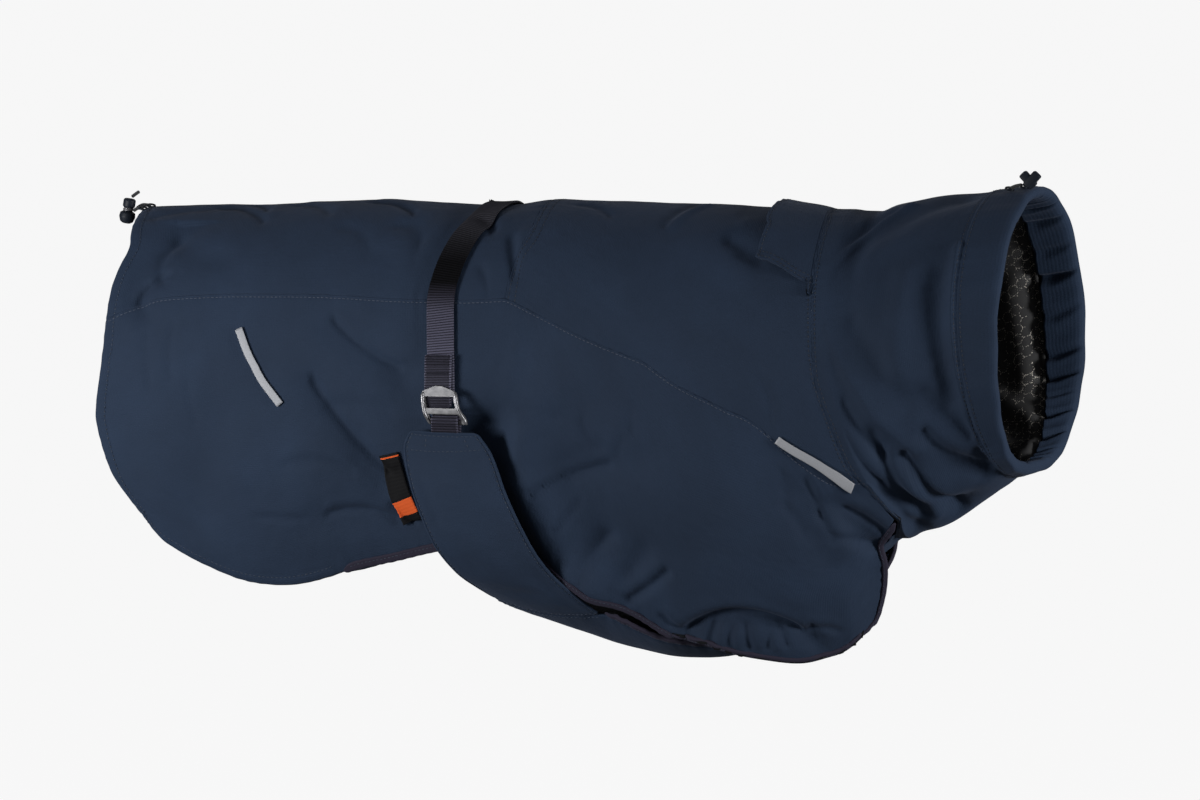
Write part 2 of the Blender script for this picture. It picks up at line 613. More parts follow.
def grid_mesh(name, grid, flip=False, ring=False, cut=None):
    """A mesh through the grid; its UV map is the lengths along it, or along the grid cut."""
    rows, columns = grid.shape[:2]
    j, i = np.meshgrid(np.arange(rows - 1), np.arange(columns if ring else columns - 1),
                       indexing="ij")
    corners = [(j, i), (j + 1, i), (j + 1, i + 1), (j, i + 1)]
    if flip:
        corners = corners[::-1]
    faces = np.stack([row * columns + column % columns for row, column in corners], axis=-1)
    cut = grid if cut is None else cut
    middle = cut[rows // 2]
    if ring:
        middle = np.vstack((middle, middle[:1]))
    u, v = lengths_of(middle), lengths_of(cut[:, columns // 2])
    uv = np.stack([np.stack((u[column], v[row]), axis=-1) for row, column in corners], axis=-2)
    return new_mesh(name, grid.reshape(-1, 3), faces.reshape(-1, 4), uv.reshape(-1, 2))


def add_sheet(name, grid, materials, wall=WALL, flip=False, ring=False, cut=None):
    """Cloth whose outer face goes through the grid; the second material is its inner face's."""
    obj = new_object(name, grid_mesh(name, grid, flip, ring, cut), *materials)
    thicken = obj.modifiers.new("Wall", "SOLIDIFY")
    thicken.thickness = wall * MM
    thicken.offset = -1.0
    thicken.use_even_offset = False
    thicken.material_offset = len(materials) - 1
    return obj


def loft(rings):
    """Points and faces of a closed body through rings of points, its two ends closed."""
    count, sides = rings.shape[:2]
    faces = []
    for j in range(count - 1):
        for i in range(sides):
            k = (i + 1) % sides
            faces.append((j * sides + i, j * sides + k, (j + 1) * sides + k, (j + 1) * sides + i))
    faces.append(tuple(range(sides))[::-1])
    faces.append(tuple(range((count - 1) * sides, count * sides)))
    return rings.reshape(-1, 3), faces


def add_lofts(name, bodies, *materials):
    """One object from several closed bodies of (points, faces)."""
    points, faces, first = [], [], 0
    for body_points, body_faces in bodies:
        points.append(body_points)
        faces += [tuple(first + corner for corner in face) for face in body_faces]
        first += len(body_points)
    mesh = bpy.data.meshes.new(name)
    mesh.from_pydata((np.vstack(points) * MM).tolist(), [], faces)
    mesh.shade_smooth()
    return new_object(name, mesh, *materials)


def blurred(values, reach):
    """The rows of values, each averaged with its neighbours."""
    padded = np.vstack([values[:1]] * reach + [values] + [values[-1:]] * reach)
    total = np.cumsum(np.vstack((np.zeros_like(values[:1]), padded)), axis=0)
    return (total[2 * reach + 1:] - total[:-2 * reach - 1]) / (2 * reach + 1)


def frames(line, ups):
    """Unit tangents, sideways vectors and ups along a line."""
    tangents = unit(np.gradient(line, axis=0))
    sideways = unit(np.cross(tangents, ups))
    return tangents, sideways, unit(np.cross(sideways, tangents))


def round_section(sides, wide, high, squareness=1.0):
    angle = np.arange(sides) * TAU / sides
    x, y = np.cos(angle), np.sin(angle)
    return np.stack((np.sign(x) * np.abs(x) ** squareness * wide,
                     np.sign(y) * np.abs(y) ** squareness * high), axis=1)


def along_line(line, ups, section, swell=None):
    """Rings of a section carried along a line; swell scales each ring."""
    tangents, sideways, up = frames(line, ups)
    swell = np.ones(len(line)) if swell is None else swell
    return (line[:, None] + (section[None, :, 0] * swell[:, None])[..., None] * sideways[:, None]
            + (section[None, :, 1] * swell[:, None])[..., None] * up[:, None])


def rounded_ends(count, rings=3):
    """Swell that closes the ends of a tube softly."""
    swell = np.ones(count)
    shape = np.sin(np.linspace(0.25, 1.0, rings + 1)[:-1] * math.pi / 2)
    swell[:rings], swell[-rings:] = shape, shape[::-1]
    return swell


def tube(line, section):
    """A closed body of this section along a line."""
    ups = np.tile(np.array((0.31, -0.74, 0.6)), (len(line), 1))
    return loft(along_line(line, ups, section, rounded_ends(len(line))))


# Stitches

THREAD = 0.26
STITCH_RINGS = ((-0.5, 0.3, -0.7), (-0.28, 1.0, 0.5), (0.28, 1.0, 0.5), (0.5, 0.3, -0.7))
STITCH_SIDES = 5


def stitch_bodies(line, ups, pitch=3.2, length=2.35):
    """Points and triangles of the stitches on a line."""
    place = lengths_of(line)
    count = int(place[-1] / pitch)
    if count < 1:
        return np.zeros((0, 3)), np.zeros((0, 3), int)
    goal = (np.arange(count) + 0.5) * place[-1] / count
    tangents, sideways, up = frames(line, ups)
    centre, along, side, up = (
        np.stack([np.interp(goal, place, column) for column in values.T], axis=1)
        for values in (line, tangents, sideways, up))
    along, side, up = unit(along), unit(side), unit(up)
    angle = np.arange(STITCH_SIDES) * TAU / STITCH_SIDES
    around = (np.cos(angle)[None, :, None] * side[:, None]
              + 0.8 * np.sin(angle)[None, :, None] * up[:, None])
    points = np.stack([
        (centre + along * length * reach + up * THREAD * lift)[:, None] + THREAD * width * around
        for reach, width, lift in STITCH_RINGS], axis=1).reshape(-1, 3)
    faces, sides, last = [], STITCH_SIDES, len(STITCH_RINGS) - 1
    for j in range(last):
        for i in range(sides):
            k = (i + 1) % sides
            a, b, c, d = j * sides + i, j * sides + k, (j + 1) * sides + k, (j + 1) * sides + i
            faces += [(a, b, c), (a, c, d)]
    for i in range(1, sides - 1):
        faces += [(0, i + 1, i), (last * sides, last * sides + i, last * sides + i + 1)]
    each = (np.arange(count) * (last + 1) * sides)[:, None, None]
    return points, (np.array(faces)[None] + each).reshape(-1, 3)


def add_stitches(host, lines, material, name="stitches", **sizes):
    """All the stitches of a piece in this thread, as one mesh on it."""
    points, faces, first = [], [], 0
    for line, ups in lines:
        body_points, body_faces = stitch_bodies(line, ups, **sizes)
        points.append(body_points)
        faces.append(body_faces + first)
        first += len(body_points)
    name = host.name.rsplit("_", 1)[0] + "_" + name
    obj = new_object(name, new_mesh(name, np.vstack(points), np.vstack(faces)), material)
    obj.parent = host


def part_of(line, ups, keep):
    return line[keep], ups[keep]


def declare(obj, slot, *nodes):
    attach(obj, "root")
    if nodes:
        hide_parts(*nodes)
    return obj


def add_cloth(node, grid, look, flip=False, ring=False):
    """A sheet of the coat's own cloth in place of a node."""
    sheet = add_sheet(node + "_cloth", grid, look["shell"], flip=flip, ring=ring)
    return declare(sheet, "shell_cloth", node)


# Materials

RIB_PITCH = 1.8  # of the webbing, in mm


def add_node(tree, kind, settings=(), **inputs):
    made = tree.nodes.new("ShaderNode" + kind)
    for key, value in dict(settings).items():
        setattr(made, key, value)
    for key, value in inputs.items():
        numbered = key[0] == "i" and key[1:].isdigit()
        socket = made.inputs[int(key[1:]) if numbered else key.replace("_", " ")]
        if isinstance(value, bpy.types.NodeSocket):
            tree.links.new(value, socket)
        else:
            socket.default_value = value
    return made


def maths(tree, operation, a, b=0.0, c=0.0):
    return add_node(tree, "Math", {"operation": operation}, i0=a, i1=b, i2=c).outputs[0]


def vector_maths(tree, operation, a, b=(0.0, 0.0, 0.0), **inputs):
    made = add_node(tree, "VectorMath", {"operation": operation}, i0=a, i1=b, **inputs)
    return made.outputs["Value" if operation == "DOT_PRODUCT" else "Vector"]


def coordinates(tree, kind="UV"):
    return add_node(tree, "TexCoord").outputs[kind]


def one_axis(tree, vector, axis):
    return add_node(tree, "SeparateXYZ", Vector=vector).outputs[axis]


def noise(tree, where, scale, detail=2.0, roughness=0.5):
    return add_node(tree, "TexNoise", Vector=where, Scale=scale, Detail=detail,
                    Roughness=roughness).outputs["Fac"]


def waves(tree, where, direction, scale, **values):
    return add_node(tree, "TexWave", {"bands_direction": direction}, Vector=where, Scale=scale,
                    **values).outputs["Fac"]


def mapped(tree, value, **ends):
    return add_node(tree, "MapRange", Value=value, **ends).outputs["Result"]


def ramp(tree, factor, stops, constant=False):
    """A colour ramp; stops are (place, colour)."""
    made = add_node(tree, "ValToRGB", Fac=factor)
    made.color_ramp.interpolation = "CONSTANT" if constant else "LINEAR"
    elements = made.color_ramp.elements
    for element, (place, colour) in zip(elements, (stops[0], stops[-1])):
        element.position, element.color = place, (*colour, 1.0)
    for place, colour in stops[1:-1]:
        elements.new(place).color = (*colour, 1.0)
    return made.outputs["Color"]


def bumped(tree, height, strength, distance, **under):
    return add_node(tree, "Bump", Height=height, Strength=strength, Distance=distance,
                    **under).outputs["Normal"]


def new_material(name, **values):
    material = bpy.data.materials.new(name)
    material.use_nodes = True
    shader = material.node_tree.nodes["Principled BSDF"]
    for key, value in values.items():
        shader.inputs[key.replace("_", " ")].default_value = value
    return material, material.node_tree, shader


def wire(tree, shader, **sockets):
    for key, socket in sockets.items():
        tree.links.new(socket, shader.inputs[key.replace("_", " ")])


PATCHES = 0.48  # how much of the unevenness of woven cloth is in slow patches


def woven(name, colour, unevenness, thread=0.0006, bump=0.35, roughness=0.82, sheen=0.05):
    """Woven cloth: fine over-and-under threads, a slight melange and slow patches of wear."""
    material, tree, shader = new_material(
        name, Roughness=roughness, Sheen_Weight=sheen, Sheen_Roughness=0.45,
        Sheen_Tint=(0.6, 0.7, 1.0, 1.0), Specular_IOR_Level=0.2)
    where = coordinates(tree)
    specks = noise(tree, where, 1500.0, 3.0, 0.7)
    mixed = maths(tree, "ADD", maths(tree, "MULTIPLY", specks, 1.0 - PATCHES),
                  maths(tree, "MULTIPLY", noise(tree, where, 16.0, 3.0), PATCHES))
    stops = ((0.30, 1.0 - unevenness), (0.52, 1.0), (0.72, 1.0 + 1.5 * unevenness))
    colours = ramp(tree, mixed, [(place, tuple(value * share for value in colour))
                                 for place, share in stops])
    over, under = (waves(tree, where, direction, 0.05 / thread * math.pi, Distortion=0.6,
                         Detail=1.0, Detail_Scale=3.0) for direction in "XY")
    height = maths(tree, "ADD", maths(tree, "MULTIPLY", over, under),
                   maths(tree, "MULTIPLY", specks, 0.7))
    slow = bumped(tree, noise(tree, where, 75.0, 3.0, 0.55), 0.35, 0.0022)
    wire(tree, shader, Base_Color=colours, Normal=bumped(tree, height, bump, 0.0004, Normal=slow))
    return material


def hex_distance(tree, where, pitch):
    """Distance from the nearest centre of a honeycomb, in cells, measured across its flats."""
    place = vector_maths(tree, "SCALE", where, Scale=1.0 / pitch)
    half = (0.5, 0.8660254, 0.0)
    reaches = []
    for start in (place, vector_maths(tree, "SUBTRACT", place, half)):
        wrapped = vector_maths(tree, "WRAP", start, (1.0, 1.7320508, 1.0), i2=(0.0, 0.0, 0.0))
        size = vector_maths(tree, "ABSOLUTE", vector_maths(tree, "SUBTRACT", wrapped, half))
        reaches.append(maths(tree, "MAXIMUM", vector_maths(tree, "DOT_PRODUCT", size, half),
                             one_axis(tree, size, "X")))
    return maths(tree, "MINIMUM", *reaches)


def honeycomb_lining():
    """Charcoal lining with fine metallic dots and dashes, in patches of a honeycomb."""
    material, tree, shader = new_material("lining_honeycomb", Specular_IOR_Level=0.05)
    where = coordinates(tree)
    cells, dots = hex_distance(tree, where, 0.0078), hex_distance(tree, where, 0.0019)
    patches = noise(tree, where, 62.0, 1.0)
    outline = maths(tree, "MULTIPLY", maths(tree, "GREATER_THAN", cells, 0.468),
                    maths(tree, "GREATER_THAN", noise(tree, where, 900.0, 0.0), 0.555))
    outline = maths(tree, "MULTIPLY", outline, maths(tree, "GREATER_THAN", patches, 0.43))
    size = mapped(tree, cells, i1=0.16, i2=0.44, i3=0.0, i4=0.12)
    inside = maths(tree, "MULTIPLY", maths(tree, "LESS_THAN", dots, size),
                   maths(tree, "GREATER_THAN", patches, 0.52))
    shine = maths(tree, "MAXIMUM", outline, inside)
    half = maths(tree, "MULTIPLY", shine, 0.5)
    height = maths(tree, "ADD", noise(tree, where, 1400.0, 2.0), half)
    wire(tree, shader, Normal=bumped(tree, height, 0.3, 0.0003),
         Base_Color=ramp(tree, shine, ((0.0, (0.040, 0.040, 0.041)), (1.0, (0.50, 0.47, 0.42)))),
         Metallic=maths(tree, "MULTIPLY", shine, 0.35),
         Roughness=mapped(tree, shine, i3=0.8, i4=0.34))
    return material


# Height in mm and colour of the webbing there
WEBBING_SHADES = (
    (-165.0, (0.036, 0.033, 0.052)), (-142.0, (0.075, 0.074, 0.106)),
    (-122.0, (0.108, 0.107, 0.150)), (-106.0, (0.084, 0.083, 0.120)),
    (-90.0, (0.068, 0.067, 0.098)), (-72.0, (0.064, 0.063, 0.092)),
    (-60.0, (0.020, 0.019, 0.028)), (-52.0, (0.003, 0.003, 0.004)),
    (-38.0, (0.003, 0.003, 0.004)), (-26.0, (0.012, 0.012, 0.015)),
    (-12.0, (0.032, 0.032, 0.040)), (0.0, (0.036, 0.036, 0.044)),
)


def webbing_material():
    """Ribbed webbing, near black where it leaves the back and paler grey down the sides."""
    material, tree, shader = new_material("webbing_weave", Roughness=0.8, Sheen_Weight=0.0,
                                          Specular_IOR_Level=0.06)
    place = coordinates(tree, "Object")
    lowest, highest = WEBBING_SHADES[0][0], WEBBING_SHADES[-1][0]
    share = mapped(tree, one_axis(tree, place, "Z"), i1=lowest * MM, i2=highest * MM)
    shades = ramp(tree, share, [((height - lowest) / (highest - lowest), colour)
                                for height, colour in WEBBING_SHADES])
    turn = maths(tree, "MULTIPLY", one_axis(tree, coordinates(tree), "X"),
                 math.pi / (RIB_PITCH * MM))
    rib = maths(tree, "ABSOLUTE", maths(tree, "COSINE", turn))
    grain = noise(tree, place, 1800.0, 2.0, 0.7)
    light = maths(tree, "MULTIPLY_ADD", rib, 1.2, maths(tree, "MULTIPLY_ADD", grain, 0.5, -0.15))
    wire(tree, shader, Base_Color=vector_maths(tree, "SCALE", shades, Scale=light),
         Normal=bumped(tree, noise(tree, place, 1300.0, 3.0, 0.6), 0.45, 0.0004))
    return material


def speckled(name, dark, light, scale, bump, **values):
    """A surface with fine grain between two colours."""
    material, tree, shader = new_material(name, **values)
    grain = noise(tree, coordinates(tree, "Object"), scale, 3.0, 0.65)
    wire(tree, shader, Base_Color=ramp(tree, grain, ((0.32, dark), (0.68, light))),
         Normal=bumped(tree, grain, bump, 0.0003))
    return material


def label_material(length):
    """Black ribbon with plain orange stripes across it, by the share of its length."""
    material, tree, shader = new_material("label_stripes", Roughness=0.75, Specular_IOR_Level=0.1)
    where = coordinates(tree)
    share = maths(tree, "MULTIPLY", one_axis(tree, where, "X"), 1.0 / (length * MM))
    black, orange = (0.007, 0.007, 0.008), (0.72, 0.115, 0.028)
    stops = ((0.0, black), (0.035, orange), (0.055, black), (0.70, orange), (0.955, black))
    wire(tree, shader, Base_Color=ramp(tree, share, stops, constant=True),
         Normal=bumped(tree, waves(tree, where, "X", 120.0), 0.25, 0.0003))
    return material


def braided(name, dark, light):
    """A round drawcord: crossing strands that run round it."""
    material, tree, shader = new_material(name, Roughness=0.7, Sheen_Weight=0.2)
    where = coordinates(tree, "Object")
    height = maths(tree, "MULTIPLY", *(
        waves(tree, vector_maths(tree, "MULTIPLY", where, (1.0, turn, turn)), "DIAGONAL", 260.0)
        for turn in (1.0, -1.0)))
    wire(tree, shader, Base_Color=ramp(tree, height, ((0.1, dark), (0.8, light))),
         Normal=bumped(tree, height, 0.7, 0.0005))
    return material


def brushed_metal():
    material, tree, shader = new_material("buckle_brushed", Metallic=0.7)
    where = coordinates(tree, "Object")
    along = vector_maths(tree, "MULTIPLY", where, (180.0, 180.0, 2600.0))
    streaks, spots = noise(tree, along, 1.0, 2.0), noise(tree, where, 240.0, 3.0)
    wire(tree, shader, Normal=bumped(tree, streaks, 0.12, 0.0002),
         Base_Color=ramp(tree, spots, ((0.3, (0.17, 0.17, 0.18)), (0.7, (0.27, 0.27, 0.28)))),
         Roughness=mapped(tree, streaks, i3=0.28, i4=0.5))
    return material


# Panels

SHARED_COLUMNS = (14, 13)  # how the side panel's length is shared between its two top seams
SEAM_SHARE = 0.25  # the part of its front edge that is sewn to the collar


def seam_shares(knots, top_x=None, cell=CELL, start=True, stop=True):
    line = edge(knots, even(80), top_x)
    return graded(lengths_of(body(line[:, 0], line[:, 1]))[-1], cell, start, stop)


def joined_shares(first, second, share):
    return np.concatenate((first * share, share + second[1:] * (1.0 - share)))


CORNER_PUSH = 0.6
CORNER_REACH = 30.0


def opened_corner(places):
    """Side panel places, those near the rear lower corner moved in from its edge."""
    points = body(places[..., 0], places[..., 1])
    up, along = distances(points, "bottom"), distances(points, "start")
    push = CORNER_PUSH * np.minimum(up, along) * np.exp(-(up + along) / CORNER_REACH)
    return places + push[..., None] * np.array((0.57, 0.48))


def panel_places():
    """(x, turn) places of the right side's panels, as grids."""
    along_back, along_yoke = seam_shares(BACK_SEAM), seam_shares(YOKE_SEAM)
    down_tail = seam_shares(TAIL_EDGE, TAIL_TOP_X, start=False)
    down_collar = seam_shares(COLLAR_SEAM, COLLAR_TOP_X, start=False)
    down_end = seam_shares(COLLAR_SEAM_END, cell=2.2, stop=False)
    back_seam, yoke_seam = edge(BACK_SEAM, along_back), edge(YOKE_SEAM, along_yoke)
    share = SHARED_COLUMNS[0] / sum(SHARED_COLUMNS)
    hem, corner = bound_edge(INSET_SHARE)
    u = joined_shares(along_back, along_yoke, share)
    v = joined_shares(down_end, graded(120.0, 2.1, start=False), SEAM_SHARE)
    on_front = (v[len(down_end) - 1:] - SEAM_SHARE) / (1.0 - SEAM_SHARE)
    front = resample(hem, 1.0 - on_front * (1.0 - corner))
    end = edge(COLLAR_SEAM_END, down_end)
    to_front = resample(np.vstack((end[:int(len(end) * 0.67)], front[:1])), down_end)
    places = {
        "side": patch(np.vstack((back_seam, yoke_seam[1:])), resample(hem, u * corner),
                      edge(REAR_EDGE + (REAR_CORNER,), v), np.vstack((to_front[:-1], front)), u, v),
        "seam_rows": len(down_end),
        "collar_half": edge(COLLAR_SEAM, down_collar, COLLAR_TOP_X),
        "seam_end": end,
    }
    places["side"] = opened_corner(places["side"])
    for name, seam, along, rear, front, down in (
        ("back", back_seam, along_back, (TAIL_EDGE, TAIL_TOP_X), (YOKE_REAR, YOKE_TOP_X),
         down_tail),
        ("yoke", yoke_seam, along_yoke, (YOKE_REAR, YOKE_TOP_X), (COLLAR_SEAM, COLLAR_TOP_X),
         down_collar),
    ):
        over = np.concatenate((0.5 - down[::-1] / 2, 0.5 + down[1:] / 2))
        places[name] = patch(seam, mirrored(seam), across_crest(edge(rear[0], down, rear[1])),
                             across_crest(edge(front[0], down, front[1])), along, over)
    return places


def add_top_panels(places, look):
    """The back panel and the yoke, each from one side seam over the crest to the other."""
    for name, rear, stitched, thread in (
        ("back", "hem", (("start", HEM_IN),), "thread"),
        ("yoke", "twin", (("start", STITCH_IN), ("start", TWIN_ROW * STITCH_IN),
                          ("end", STITCH_IN)), "dark_thread"),
    ):
        spots = places[name]
        kinds = (("top", "seam"), ("bottom", "seam"), ("start", rear), ("end", "seam"))
        grid = dressed(on_skin(spots), kinds, normals_at(spots))
        obj = add_cloth(name + "_panel", grid, look, flip=True)
        add_stitches(obj, [inside_line(grid, side, inset, True) for side, inset in stitched],
                     look[thread])


def side_kinds(grid, seam_rows):
    """How much of each edge treatment each point of a side panel takes, by side and kind."""
    bound = np.clip((grid[-1, :, 0] - BINDING_START_X + 12.0) / 12.0, 0.0, 1.0)[None, :]
    on_front = (np.arange(len(grid)) >= seam_rows)[:, None]
    return (("top", "sewn"), ("start", "hem"), ("bottom", "hem", 1.0 - bound),
            ("bottom", "bound", bound), ("end", "bound", on_front), ("end", "seam", ~on_front))


def add_side(places, name, side, look):
    spots, flip = on_side(places["side"], side), side == LEFT
    plain = on_skin(spots)
    grid = dressed(plain, side_kinds(plain, places["seam_rows"]), normals_at(spots))
    obj = add_cloth("side_panel_" + name, grid, look, flip)
    hem_line = inside_line(grid, "bottom", HEM_IN, flip)
    keep = hem_line[0][:, 0] < BINDING_START_X - 6.0
    lines = inside_lines(grid, "start", HEM_IN, flip) + [part_of(*hem_line, keep)]
    add_stitches(obj, lines, look["thread"])
    add_stitches(obj, inside_lines(grid, "top", STITCH_IN, flip), look["seam_thread"],
                 "seam_stitches")
    tape = add_hem_binding(plain, places["seam_rows"], name, look)


INSET_SHARE = 0.5  # the cloth reaches this share of the way into its binding
BINDING_REACH, BINDING_HALF, BINDING_CENTRE = 2.2, 1.6, 1.05
BINDING_STEP, BINDING_SIDES = 1.2, 16
REAR_BINDING_EXTRA = 1.2  # how much further inwards the binding reaches under the rear lobe
STITCHED_AT = -0.5  # where across the binding its stitches run, from -1 inside to 1 outside


def bound_tube(line, outward, name, look):
    """Folded tape round a free edge, puckered and stitched near its inner side."""
    tangents = unit(np.gradient(line, axis=0))
    outward = unit(outward - tangents * np.sum(outward * tangents, axis=1, keepdims=True))
    ups = unit(np.cross(tangents, outward))
    place = lengths_of(line)
    section = round_section(BINDING_SIDES, BINDING_REACH, BINDING_HALF, 0.62)
    wave = (np.sin(TAU * place / 7.3 + 1.2 * np.sin(place / 13.0))
            * (0.6 + 0.4 * np.sin(place / 19.0)))
    extra = REAR_BINDING_EXTRA * np.clip((-118.0 - line[:, 0]) / 20.0, 0.0, 1.0)
    centre = line + outward * (BINDING_CENTRE - extra + 0.12 * wave)[:, None]
    swell = rounded_ends(len(line), 8)
    reach = section[None, :, 0] * (swell * (1.0 + 0.02 * wave + extra / BINDING_REACH))[:, None]
    high = section[None, :, 1] * (swell * (1.0 + 0.10 * wave))[:, None]
    dent = np.exp(-((section[:, 0] / BINDING_REACH - STITCHED_AT) / 0.16) ** 2) * 0.30
    high = high * (1.0 - dent[None, :])
    rings = centre[:, None] + reach[..., None] * outward[:, None] + high[..., None] * ups[:, None]
    tape = add_lofts(name, [loft(rings)], look["binding"])
    lines = [(centre + outward * STITCHED_AT * BINDING_REACH + ups * face * BINDING_HALF * 0.72,
              ups * face) for face in (1.0, -1.0)]
    add_stitches(tape, [part_of(*one, slice(6, -6)) for one in lines], look["thread"], pitch=3.0)
    return declare(tape, "binding", name.rsplit("_", 1)[0])


def add_hem_binding(plain, seam_rows, name, look):
    keep = plain[-1, :, 0] > BINDING_START_X
    line = np.vstack((plain[-1, keep], plain[seam_rows:-1, -1][::-1]))
    outward = unit(np.vstack(((plain[-1] - plain[-6])[keep],
                              (plain[:, -1] - plain[:, -6])[seam_rows:-1][::-1])))
    shares = even(int(lengths_of(line)[-1] / BINDING_STEP))
    line, outward = resample(line, shares), resampled_with(line, outward, shares)
    return bound_tube(blurred(line, 4), blurred(outward, 8), f"hem_binding_{name}_tape", look)


# Collar

IndexedRing = namedtuple("IndexedRing", ("place",) + Ring._fields)
RINGS = tuple(
    IndexedRing(k, *ring)
    for k, ring in enumerate((COLLAR[0]._replace(top_x=COLLAR_TOP_X, blend=0.0),) + COLLAR))
COLLAR_CREASE_SHARE = 1.5
COLLAR_CREASES = table(CollarFold, (
    (0.16, 43, 0.50, 12, 3.5, 2.2), (0.24, 31, 0.42, 16, 8, -2.0), (0.90, 50, 0.90, 132, 5, 1.8),
    (0.79, 60, 0.80, 112, 6, -1.0), (0.62, 58, 0.57, 94, 9, 1.8), (0.75, 66, 0.80, 108, 6, -1.2),
    (0.15, 70, 0.56, 124, 5, 2.0), (0.34, 70, 0.60, 106, 7, -1.9),
    (0.37, 112, 0.40, 162, 4.5, -2.9), (0.49, 124, 0.61, 172, 4.5, -3.5),
    (0.47, 122, 0.50, 165, 4, 1.8), (0.64, 119, 0.84, 156, 4.5, -3.2),
    (0.68, 104, 0.87, 131, 5, -2.6), (0.22, 98, 0.37, 122, 4, -2.8),
    (0.14, 110, 0.28, 132, 4, -2.0), (0.86, 140, 0.95, 165, 4, -1.8),
))


def ring_place(values, angle, depth):
    """Points of the collar: values holds columns of Ring, and angle is 0 at the top and positive
    on the right."""
    top_x, top_z, bottom_x, bottom_z = (values[key] for key in Ring._fields[:4])
    up_x, up_z = (top_x - bottom_x) / 2, (top_z - bottom_z) / 2
    reach = 1.0 - depth / np.hypot(up_x, up_z)
    cosine, sine = np.cos(angle), np.sin(angle)
    fullness = np.where(cosine < 0, values["fullness"], 1.0)
    swing = np.sign(sine) * np.abs(sine) ** fullness
    x = (top_x + bottom_x) / 2 + up_x * cosine * reach - values["back"] * np.abs(sine) ** 2
    z = (top_z + bottom_z) / 2 + up_z * cosine * reach
    y = -(values["half_width"] - depth) * swing
    return np.stack(np.broadcast_arrays(x, y, z), axis=-1)


def turned(points, share):
    moved = points.copy()
    moved[..., 0] += points[..., 1] * math.tan(NECK_TURN) * share
    return moved


COLLAR_LENGTH, COLLAR_RADIUS = 115.0, 95.0  # in mm, for folds placed by share and angle


def crease_depth(folds, along, angle):
    """How far the collar's folds stand out; angle is signed, positive on the right."""
    total = np.zeros(np.broadcast_shapes(np.shape(along), np.shape(angle)))
    left = angle < 0
    for fold in folds:
        first = math.radians(fold.angle0) + np.where(left, 0.12, 0.0)
        last = math.radians(fold.angle1) + np.where(left, 0.05, 0.0)
        ends = (fold.along0 * COLLAR_LENGTH, first * COLLAR_RADIUS,
                fold.along1 * COLLAR_LENGTH, last * COLLAR_RADIUS)
        total += fold.height * ridge(along * COLLAR_LENGTH, np.abs(angle) * COLLAR_RADIUS, ends,
                                     fold.width)
    return total


def collar_seam(places):
    """The seam ring as points and signed angles, from the top over the right side and back."""
    throat = spline(COLLAR_THROAT, even(24))
    halves = []
    for side in (RIGHT, LEFT):
        turn_sign = -side
        spots = [places["collar_half"], places["seam_end"][1:]]
        half = np.vstack([on_skin(spot * np.array((1.0, turn_sign))) for spot in spots])
        halves.append(np.vstack((half, throat[1:] * np.array((1.0, turn_sign, 1.0)))))
    place = lengths_of(halves[0])
    angle = math.pi * place / place[-1]
    points = np.vstack((halves[0], halves[1][-2:0:-1]))
    return points, np.concatenate((angle, -angle[-2:0:-1]))


def collar_grid(seam, angle, w, depth=0.0):
    """Rows of the collar at these places w, 0 at its seam and 10 at the band's seam."""
    values = {key: at_row(RINGS, key, w)[:, None] for key in Ring._fields}
    along = w[:, None] / len(COLLAR)
    crease = crease_depth(COLLAR_FOLDS, along, angle[None]) + (
        COLLAR_CREASE_SHARE * crease_depth(COLLAR_CREASES, along, angle[None])
        + 0.5 * undulation(along * COLLAR_LENGTH, angle[None] * COLLAR_RADIUS, 48.0))
    crease = crease * values["blend"] * np.clip((1.0 - along) * 9.0, 0.0, 1.0)
    place = turned(ring_place(values, angle[None], depth - crease), along)
    start = seam[None] + np.zeros((len(w), 1, 1))
    start[..., 0] += (values["top_x"] - COLLAR_TOP_X) * 0.9
    return start + (place - start) * values["blend"][..., None]


def add_collar(seam, angle, look):
    grid = collar_grid(seam, angle, graded(118.0, 2.7) * len(COLLAR))
    grid = dressed(grid, (("top", "seam"), ("bottom", "sewn")), grid_normals(grid, True, True))
    obj = add_cloth("collar", grid, look, True, True)
    add_stitches(obj, inside_lines(grid, "bottom top", STITCH_IN, True, True),
                 look["dark_thread"])


def add_lining(seam, angle, look):
    grid = collar_grid(seam, angle, np.linspace(LINING_FIRST_RING, len(COLLAR), 34), LINING_DEPTH)
    obj = add_sheet("collar_lining_cloth", grid, look["lining"], LINING_WALL, flip=True, ring=True)
    declare(obj, "lining", "collar_lining")


BAND_COLUMNS = 540
BAND_ROWS = (0.0, 0.015, 0.035, 0.06, 0.1, 0.15, 0.2, 0.25, 0.3, 0.34, 0.37, 0.4, 0.43, 0.46,
             0.49, 0.52, 0.55, 0.59, 0.63, 0.67, 0.71, 0.75, 0.79, 0.83, 0.87, 0.91, 0.94, 0.97,
             1.0)
BAND_DEPTH = 34.0  # from the band's seam to the rim, in mm
TUCKS, TUCK_DEPTH = 27, 8.5
FAR_LOW_RIM = 4.33  # the angle where the rim reaches furthest forward


def tucks(angle, inner):
    """The facing's tucks round the rim: 1 at the bottom of the deepest, and swells between them."""
    place = ((angle + 0.05 * inner) * TUCKS / TAU + 0.38 * np.sin(3 * angle + 0.4)
             + 0.16 * np.sin(7 * angle + 1.7))
    number = np.round(place)
    off = place - number
    number = np.mod(number, TUCKS)
    size = 0.68 + 0.32 * np.sin(2.3 * number + 1.0)
    width = 0.05 + (0.125 + 0.035 * np.sin(1.7 * number)) * inner
    return size * np.exp(-(off / width) ** 2) - 0.12 * np.cos(TAU * off)


